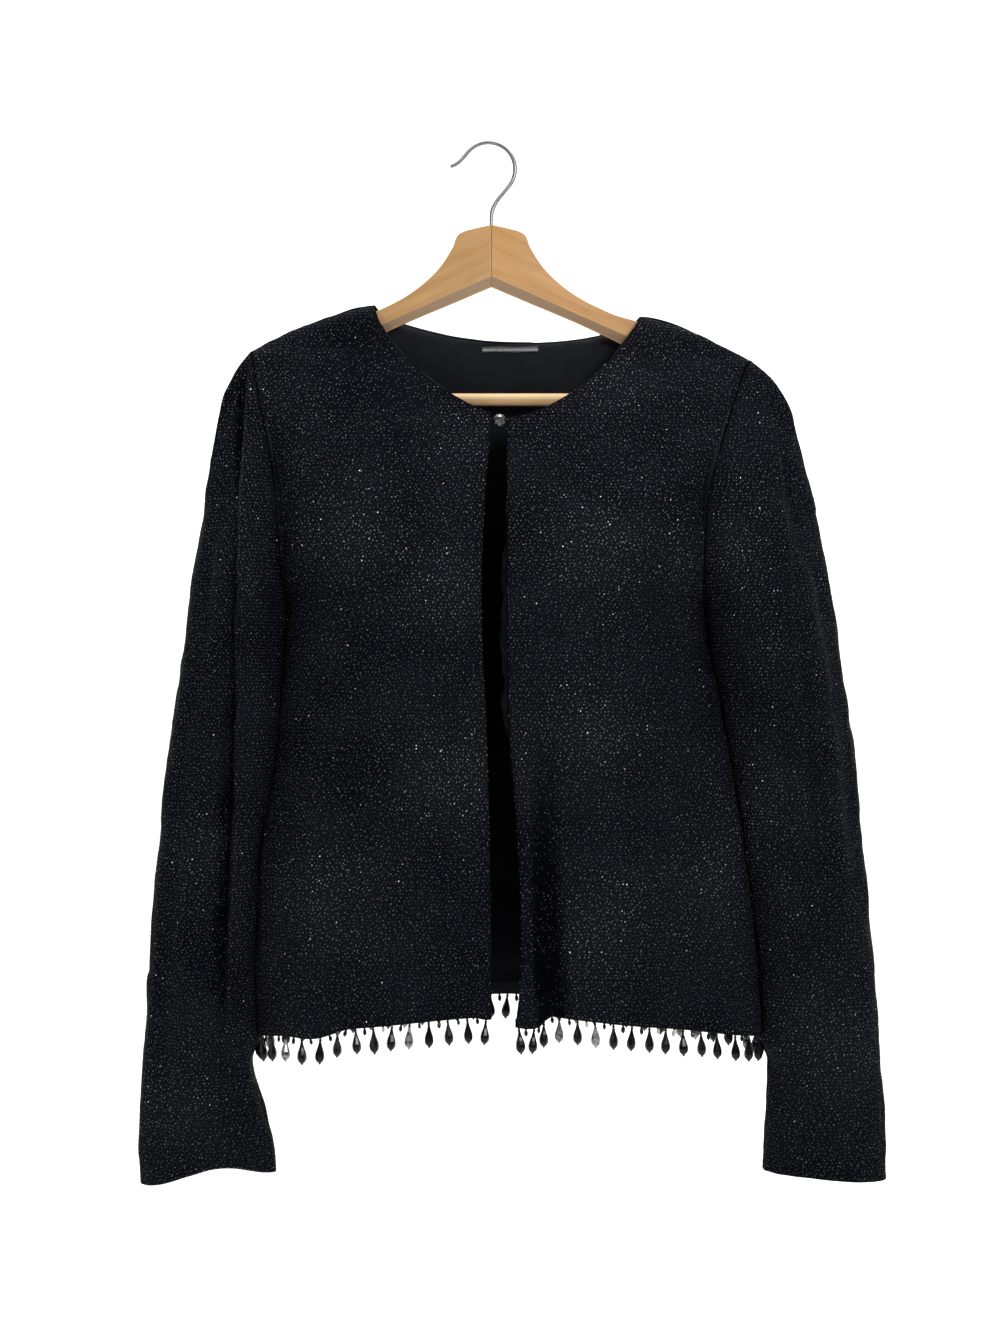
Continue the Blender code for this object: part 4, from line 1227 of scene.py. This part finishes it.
def add_hanger_arm(half, wood):
    """One mitred half of the hanger, whose end turns down to the bar."""
    name = half.name + "_arm_wood"
    curve = bpy.data.curves.new(name, "CURVE")
    curve.dimensions = "2D"
    curve.fill_mode = "BOTH"
    curve.extrude = ARM_THICKNESS / 2 - ARM_EDGE_ROUNDING
    curve.bevel_depth = ARM_EDGE_ROUNDING
    curve.offset = -ARM_EDGE_ROUNDING
    curve.bevel_resolution = ARM_EDGE_FACETS
    curve.resolution_u = ARM_CURVE_STEPS
    spline = curve.splines.new("BEZIER")
    spline.use_cyclic_u = True
    outline = ARM_OUTLINE if half.sign > 0 else ARM_OUTLINE[::-1]
    spline.bezier_points.add(len(outline) - 1)
    for point, place in zip(spline.bezier_points, outline):
        point.co = (half.sign * place.out, place.height, 0)
        point.handle_left_type = "VECTOR" if place.corner else "AUTO"
        point.handle_right_type = point.handle_left_type
    mesh = mesh_of_curve(name, curve, (math.pi / 2, 0, 0), (HANGER_X, 0, 0))
    bevel_foot(half, mesh)
    stand_for(put_in_scene(name, mesh, wood), "hanger_wood", half.name + "_hanger_arm")


def add_hanger():
    add_hanger_arm(RIGHT, wood_finish(*RIGHT_ARM))
    add_hanger_arm(LEFT, wood_finish(*LEFT_ARM))
    route = [(HANGER_X + BAR_REACH * end.share, 0, BAR_Z) for end in BAR_ENDS]
    radii = [end.radius for end in BAR_ENDS]
    bar = mesh_of_curve("bar_wood", tube_curve("bar", route, BAR_RADIUS, radii))
    pale = wood_finish(*BAR)
    stand_for(put_in_scene("bar_wood", bar, pale), "bar_wood", "hanger_bar")
    add_hook()


def add_hook():
    """A stem, a crank out to the ring, the ring over the origin and a tip that flicks back out."""
    centre_z = WIRE_RADIUS - HOOK_RADIUS
    route = [(HANGER_X, 0, HOOK_STEM_FOOT_Z), (HANGER_X, 0, HOOK_STEM_TOP_Z)]
    for angle in np.radians(np.linspace(*HOOK_ARC, HOOK_ARC_STEPS + 1)):
        route.append((HOOK_RADIUS * math.cos(angle), 0, centre_z + HOOK_RADIUS * math.sin(angle)))
    end_x, _, end_z = route[-1]
    for step in range(1, HOOK_TIP_STEPS + 1):
        share = step / HOOK_TIP_STEPS
        drop = HOOK_TIP_DROP * math.sin(share * math.pi / 2)
        route.append((end_x - HOOK_TIP_OUT * share, 0, end_z - drop))
    smooth = rounded_route(route, HOOK_ROUNDS)
    radii = np.ones(len(smooth))
    radii[-len(HOOK_TIP_RADII):] = HOOK_TIP_RADII
    wire = mesh_of_curve("hook_wire", tube_curve("wire", smooth, WIRE_RADIUS, radii))
    stand_for(put_in_scene("hook_wire", wire, steel_finish()), "hook_steel", "hanger_hook")


def add_button(glass):
    """A faceted ball on the edge of the left front, held by a cord loop from the right front."""
    edge = float(along(BODY, "left_edge", np.array(BUTTON_Z)))
    on_edge = panel_points(LEFT, front_start(LEFT), -1, "left_front", np.array(0.0), np.array(BUTTON_Z))
    depth = float(on_edge[1])
    centre = Vector((edge - BUTTON_RADIUS - BUTTON_CLEARANCE, depth, BUTTON_Z))
    ball = bmesh.new()
    bmesh.ops.create_icosphere(ball, subdivisions=BUTTON_FACETS, radius=BUTTON_RADIUS)
    bmesh.ops.translate(ball, verts=ball.verts, vec=centre)
    mesh = bpy.data.meshes.new("button_ball")
    ball.to_mesh(mesh)
    ball.free()
    stand_for(put_in_scene("button_ball", mesh, glass), "black_glass", "neck_button")

    behind = depth + BUTTON_RADIUS + LOOP_RADIUS + BUTTON_CLEARANCE
    start = float(along(BODY, "right_edge", np.array(BUTTON_Z))) + LOOP_RADIUS
    turn = np.pi * (np.linspace(0, 1, LOOP_STEPS + 1) - 0.5)
    x = start + (centre.x - start) * np.cos(turn)
    y = depth + SOLID_WALL / 2 + (behind - depth - SOLID_WALL / 2) * smooth_step(np.cos(turn) * LOOP_TUCK)
    route = xyz(x, y, BUTTON_Z + LOOP_HALF_SPREAD * np.sin(turn))
    cord = mesh_of_curve("loop_cord", tube_curve("loop", route, LOOP_RADIUS))
    black = thread_finish(*LOOP_THREAD)
    stand_for(put_in_scene("loop_cord", cord, black), "loop_cord", "button_loop")


def depth_on(points, x, height):
    """The y of a panel's own surface at places given by x and height."""
    found = np.empty_like(x)
    for index, z in np.ndenumerate(height):
        row_x = [np.interp(z, column[:, 2], column[:, 0]) for column in points]
        row_y = [np.interp(z, column[:, 2], column[:, 1]) for column in points]
        found[index] = np.interp(x[index], row_x, row_y)
    return found


def add_lining(back, satin):
    """The back's lining, hung just inside it, with slack puckers under the label."""
    columns = []
    for column, share in zip(back, back_shares()):
        if abs(share) > LINING_ACROSS:
            continue
        half = RIGHT if share < 0 else LEFT
        inside_neck = abs(column[-1, 0] - HEM_CENTRE_X) < abs(half.neck_x - HEM_CENTRE_X)
        drop = LINING_NECK_DROP if inside_neck else LINING_SHOULDER_DROP
        heights = np.linspace(column[0, 2] + LINING_HEM_RISE, column[-1, 2] - drop, LINING_ROWS)
        places = [np.interp(heights, column[:, 2], column[:, axis]) for axis in range(3)]
        columns.append(xyz(*places))
    points = np.array(columns)
    slack = crease_push("back_lining", points[..., 0], points[..., 2])
    points = points - grid_normals(points) * (INSIDE_DEPTH + np.maximum(slack, 0))[..., None]
    piece = add_grid("lining_satin", points, (satin,), wall=LINING_WALL)
    stand_for(piece, "lining_cloth", "back_lining")
    state_cut(points)


def add_facing(satin):
    """The facing of the left front, whose wavy edge peeps past the front edge along its middle."""
    heights = np.linspace(*FACING_Z, FACING_ROWS)
    from_ends = np.minimum(FACING_SHOW_Z[1] - heights, heights - FACING_SHOW_Z[0])
    waves = FACING_EVEN
    for wave in FACING_WAVES:
        waves = waves + wave.size * np.sin(heights * wave.pitch + wave.start)
    show = FACING_LEAST_SHOW + FACING_SHOW * waves * smooth_step(from_ends / FACING_SHOW_FADE)
    width = side_x(LEFT, heights) - along(BODY, "left_edge", heights)
    peep = -np.arcsin(show / width) * 2 / np.pi
    shares = [peep * part for part in FACING_PEEPS]
    shares += [np.full_like(heights, share) for share in FACING_SHARES]
    points = np.array([panel_points(LEFT, front_start(LEFT), -1, "left_front", s, heights) for s in shares])
    curl = np.array(FACING_CURLS + (0,) * len(FACING_SHARES))[:, None] * np.sin(heights * FACING_CURL_PITCH)
    points = points - grid_normals(points) * (INSIDE_DEPTH + curl)[..., None]
    piece = add_grid("facing_satin", points, (satin,), wall=LINING_WALL)
    stand_for(piece, "lining_cloth", "left_front_facing")
    state_cut(points)


def add_label(back, tape):
    """A bare tape under the back neck edge, its lower edge folded forward."""
    x = np.linspace(*LABEL_X, LABEL_COLUMNS)[:, None]
    down = np.linspace(1, 0, LABEL_ROWS)
    rise_pitch, slack_pitch = LABEL_WAVE_PITCHES
    height = LABEL_TOP - LABEL_HEIGHT * down + LABEL_WAVE * np.sin(x * rise_pitch)
    x, height, down = np.broadcast_arrays(x, height, down)
    y = depth_on(back, x, height) - LABEL_DEPTH - LABEL_FOLD * down**3
    y = y - LABEL_WAVE * np.sin(x * slack_pitch) * down
    points = xyz(x, y, height)
    piece = add_grid("label_tape", points, (tape,), wall=LABEL_WALL)
    return stand_for(piece, "label_satin", "neck_label")


def turned(rings, sides):
    """Points and faces of a bead turned on its length, from its rings, closed at both ends."""
    angles = np.arange(sides) * 2 * np.pi / sides
    points = [(r.radius * np.cos(a), r.radius * np.sin(a), -r.below) for r in rings for a in angles]
    faces = [tuple(range(sides))]
    for ring in range(len(rings) - 1):
        for side in range(sides):
            after = (side + 1) % sides
            here, there = ring * sides, (ring + 1) * sides
            faces.append((here + side, there + side, there + after, here + after))
    faces.append(tuple((len(rings) - 1) * sides + side for side in reversed(range(sides))))
    return np.array(points), faces


class BeadString:
    """Gathers beads and threads of one fringe into one mesh."""

    def __init__(self):
        self.points = []
        self.faces = []
        self.finishes = []

    def add(self, points, faces, finish):
        first = len(self.points)
        self.points.extend(points)
        self.faces.extend([tuple(first + corner for corner in face) for face in faces])
        self.finishes.extend([finish] * len(faces))

    def bead(self, rings, sides, finish, place, spin, sway, lean, scale=1.0):
        """A bead hung from a place: spun about its thread, then swayed along the hem and leaned out."""
        points, faces = turned(rings, sides)
        turn = Euler((lean, sway, spin), "ZYX").to_matrix()
        self.add(points * scale @ np.array(turn).T + place, faces, finish)

    def mesh(self, name):
        mesh = new_mesh(name, self.points, self.faces)
        mesh.polygons.foreach_set("material_index", self.finishes)
        return mesh


GLASS, SMOKE, PALE_BEAD, TAPE = range(4)


def add_fringe(side, hem, materials, seed):
    """A sewn tape behind a hem, with faceted drops and short strands hung from it in turn."""
    random = np.random.default_rng(seed)
    margin = STRAND_END_MARGIN[side]
    first_drop = 1 if side == "back" else 0
    run = run_along(hem)
    count = int((run[-1] - 2 * margin) / STRAND_PITCH) // 2 * 2 + 1
    string = BeadString()
    inward = np.array((0, -np.sign(hem[len(hem) // 2, 1]), 0))
    lines = [hem + inward * edge.inset + (0, 0, edge.rise) for edge in STRAND_TAPE]
    tape = np.stack(lines, axis=1)
    corner = np.arange(len(hem) * len(lines)).reshape(len(hem), -1)
    after = np.roll(corner, -1, axis=1)
    faces = [corner[0, ::-1], corner[-1]]
    faces.extend(np.stack([corner[:-1], after[:-1], after[1:], corner[1:]], axis=-1).reshape(-1, 4))
    string.add(tape.reshape(-1, 3), faces, TAPE)
    for index, distance in enumerate(np.linspace(margin, run[-1] - margin, count)):
        distance = distance + random.uniform(-STRAND_JITTER, STRAND_JITTER)
        place = np.array([np.interp(distance, run, hem[:, axis]) for axis in range(3)])
        place = place + inward * STRAND_INSET
        spin = random.uniform(0, STRAND_SPIN)
        sway = random.normal(0, STRAND_SWAY)
        lean = random.normal(0, STRAND_LEAN)
        tint = random.uniform()
        if index % 2 == first_drop:
            finish = SMOKE if tint < SMOKE_SHARE else GLASS
            scale = random.uniform(*DROP_SCALES)
            string.bead(DROP, DROP_SIDES, finish, place, spin, sway, lean, scale)
            for below in DROP_SEEDS:
                knot = place - (0, 0, below)
                string.bead(SEED_BEAD, BEAD_SIDES, GLASS, knot, spin, sway, lean, DROP_SEED_SCALE)
        else:
            finish = PALE_BEAD if tint < PALE_SHARE else GLASS
            scale = random.uniform(*SHORT_SCALES)
            string.bead(SHORT_BEAD, BEAD_SIDES, finish, place, spin, sway * SHORT_SWAY, lean, scale)
            string.bead(SEED_BEAD, BEAD_SIDES, GLASS, place - (0, 0, SHORT_SEED), spin, sway, lean)
    name = side + "_beads"
    piece = put_in_scene(name, string.mesh(name), *materials)
    stand_for(piece, "black_glass", side + "_fringe")


def glitter_finish(name, dark, light, metallic, rough):
    """One brightness of the glitter; each stud takes its own shade."""
    finish = Finish(name, Metallic=metallic, Specular_IOR_Level=0.5)
    shade = finish.noise(finish.place(), scale=700.0, detail=1.0)
    colour = finish.blend(shade.between(0.32, 0.68), (dark, dark, dark * 1.3), (light, light, light * 1.05))
    return finish.give(Base_Color=colour, Roughness=rough + 0.2 * shade)


def level_run(points, height):
    """Fractional rows where a grid's columns cross a height, the columns that do, and the run along them."""
    rows = np.arange(points.shape[1])
    climb = np.sign(points[0, -1, 2] - points[0, 0, 2])
    row = np.array([np.interp(height * climb, column[:, 2] * climb, rows, -1, -1) for column in points])
    columns = np.flatnonzero(row >= 0)
    row = row[columns]
    low = np.minimum(row.astype(int), points.shape[1] - 2)
    share = (row - low)[:, None]
    line = points[columns, low] * (1 - share) + points[columns, low + 1] * share
    return row, columns, run_along(line)


def lattice_places(points, random):
    """Fractional columns and rows of a loose lattice whose rows are level and stand half a step apart."""
    heights = points[..., 2]
    highest = np.unravel_index(heights.argmax(), heights.shape)[0]
    step = np.linalg.norm(np.diff(points[highest], axis=0), axis=1).mean()
    across, up = [], []
    for turn, height in enumerate(np.arange(heights.min(), heights.max(), GLITTER_SPACING * LATTICE_ROW)):
        rows, columns, run = level_run(points, height)
        if len(columns) < 2:
            continue
        nearest = np.abs(columns - highest).argmin()
        first = run[nearest] + GLITTER_SPACING / 2 * (turn % 2)
        places = np.arange(first % GLITTER_SPACING, run[-1], GLITTER_SPACING)
        places = places + random.normal(0, GLITTER_JITTER * GLITTER_SPACING, len(places))
        slack = random.normal(0, GLITTER_JITTER * GLITTER_SPACING, len(places))
        across.append(np.interp(places, run, columns))
        up.append(np.interp(places, run, rows) + slack / step)
    last = points.shape[1] - 1 - LATTICE_MARGIN
    return np.concatenate(across), np.clip(np.concatenate(up), LATTICE_MARGIN, last)


def at_places(values, across, up):
    """A grid's values at fractional columns and rows."""
    column = np.minimum(across.astype(int), values.shape[0] - 2)
    row = np.minimum(up.astype(int), values.shape[1] - 2)
    return bilinear(values, column, row, (across - column)[:, None], (up - row)[:, None])


# Painted light: how strongly the glow patches light each place, on the front or the back by the way it faces
def glow_at(places):
    total = np.zeros(len(places))
    for glows, side in ((FRONT_GLOWS, -1), (BACK_GLOWS, 1)):
        facing = smooth_step(0.5 + side * places[:, 1] / GLOW_BLEND)
        for glow in glows:
            apart = ((places[:, 0] - glow.x) ** 2 + (places[:, 2] - glow.height) ** 2) / glow.radius**2
            total += facing * glow.gain * np.exp(-apart)
    return np.clip(total, -1, 1)


def unit(vectors):
    return vectors / np.maximum(np.linalg.norm(vectors, axis=1, keepdims=True), TINY)


def add_glitter(name, points, materials, seed, wraps=False):
    """Studs set flat on a piece's cloth: low pyramids, in dim, middling and bright."""
    random = np.random.default_rng(seed)
    normals = grid_normals(points, wraps)
    depth = fold_depth(points, wraps)[..., None]
    if wraps:
        points, normals, depth = (np.concatenate([grid, grid[:1]]) for grid in (points, normals, depth))
    across, up = lattice_places(points, random)
    # Painted shade: studs deep in folds lose glow, so fewer are kept and fewer are middling or bright
    fold = at_places(depth, across, up)[:, 0]
    places = at_places(points, across, up)
    glow = glow_at(places) - fold
    kept = random.uniform(0, 1, len(glow)) > -FOLD_HIDES * glow
    across, up, places, glow = across[kept], up[kept], places[kept], np.maximum(glow[kept], 0)
    count = len(places)
    out = unit(unit(at_places(normals, across, up)) + random.normal(0, GLITTER_TILT, (count, 3)))
    side = unit(np.cross(out, random.normal(0, 1, (count, 3))))
    radius = random.uniform(*GLITTER_RADIUS, (count, 1))
    side, other = side * radius, np.cross(out, side) * radius
    foot = places - out * GLITTER_SUNK
    corners = [foot + side, foot + other, foot - side, foot - other, places + out * radius * GLITTER_HEIGHT]
    studs = np.stack(corners, axis=1).reshape(-1, 3)
    pattern = np.array([(0, 1, 4), (1, 2, 4), (2, 3, 4), (3, 0, 4)])
    faces = (np.arange(count)[:, None, None] * len(corners) + pattern).reshape(-1, 3)
    # Painted glints: lighter stud looks, given more often where glow is high
    luck = random.uniform(0, 1, count)
    middling = luck < MIDDLING_SHARE[0] + MIDDLING_SHARE[1] * glow
    bright = luck < BRIGHT_SHARE[0] + BRIGHT_SHARE[1] * glow
    shade = middling.astype(int) + bright
    mesh = new_mesh(name, studs, faces)
    mesh.polygons.foreach_set("material_index", np.repeat(shade, len(pattern)).astype(np.int32))
    piece = put_in_scene(name, mesh, *materials)
    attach(piece, BODY_NAME)


def add_lamp(lamp):
    light = bpy.data.lights.new(lamp.name, "AREA")
    light.shape = "RECTANGLE"
    light.size = lamp.width
    light.size_y = lamp.height
    light.energy = lamp.power
    piece = put_in_scene(lamp.name, light)
    piece.location = lamp.place
    piece.rotation_euler = (Vector(lamp.aim) - Vector(lamp.place)).to_track_quat("-Z", "Y").to_euler()


def set_stage():
    """A pale floor that curves up behind and is clear from the back, soft lamps and an even surround."""
    profile = [(FLOOR_FRONT_Y, FLOOR_Z)]
    for angle in np.linspace(0, math.pi / 2, FLOOR_BEND_STEPS + 1):
        back = WALL_Y - FLOOR_BEND + FLOOR_BEND * math.sin(angle)
        profile.append((back, FLOOR_Z + FLOOR_BEND - FLOOR_BEND * math.cos(angle)))
    profile.append((WALL_Y, WALL_TOP))
    points = [(x, y, z) for x in (-FLOOR_HALF_WIDTH, FLOOR_HALF_WIDTH) for y, z in profile]
    count = len(profile)
    faces = [(count + i, count + i + 1, i + 1, i) for i in range(count - 1)]
    mesh = new_mesh("pale_floor", points, faces)
    mesh.shade_smooth()
    paper = Finish("pale_paper", Roughness=0.9)
    grain = paper.noise(paper.place(), scale=3.0)
    white = paper.blend(grain, (0.93, 0.93, 0.93), (0.96, 0.96, 0.96))
    behind = paper.node("NewGeometry", out="Backfacing")
    put_in_scene("pale_floor", mesh, paper.give(Base_Color=white, Alpha=1 - behind))

    world = bpy.data.worlds.new("studio")
    world.use_nodes = True
    surround = world.node_tree.nodes["Background"].inputs
    surround["Color"].default_value = (1, 1, 1, 1)
    surround["Strength"].default_value = SURROUND
    bpy.context.scene.world = world
    for lamp in LAMPS:
        add_lamp(lamp)
    bpy.context.scene.view_settings.view_transform = "Standard"


def set_camera():
    lens = bpy.data.cameras.new("front")
    lens.sensor_fit = "VERTICAL"
    lens.sensor_height = SENSOR_HEIGHT
    lens.lens = SENSOR_HEIGHT * CAMERA_DISTANCE / FRAME_HEIGHT
    camera = put_in_scene("front", lens)
    camera.location = (FRAME_CENTRE[0], -CAMERA_DISTANCE, FRAME_CENTRE[1])
    camera.rotation_euler = (math.pi / 2, 0, 0)
    bpy.context.scene.camera = camera


set_camera()
set_stage()
satin = lining_finish()
glass = glass_finish(*BLACK_GLASS)
surfaces = add_cloth(glitter_cloth_finish(), satin)
studs = [glitter_finish(*stud) for stud in STUDS]
for seed, (node, points) in enumerate(surfaces.items()):
    add_glitter(node + "_glitter", points, studs, GLITTER_SEED + seed, node.endswith("sleeve"))
label = add_label(surfaces["back"], label_finish())
add_lining(surfaces["back"], satin)
add_facing(satin)
add_button(glass_finish(*BUTTON_GLASS))
bead_finishes = (glass, glass_finish(*SMOKE_GLASS), thread_finish(*PALE_THREAD), thread_finish(*TAPE_THREAD))
for seed, side in enumerate(("right_front", "left_front", "back")):
    add_fringe(side, surfaces[side][:, 0], bead_finishes, FRINGE_SEED + seed)
add_hanger()
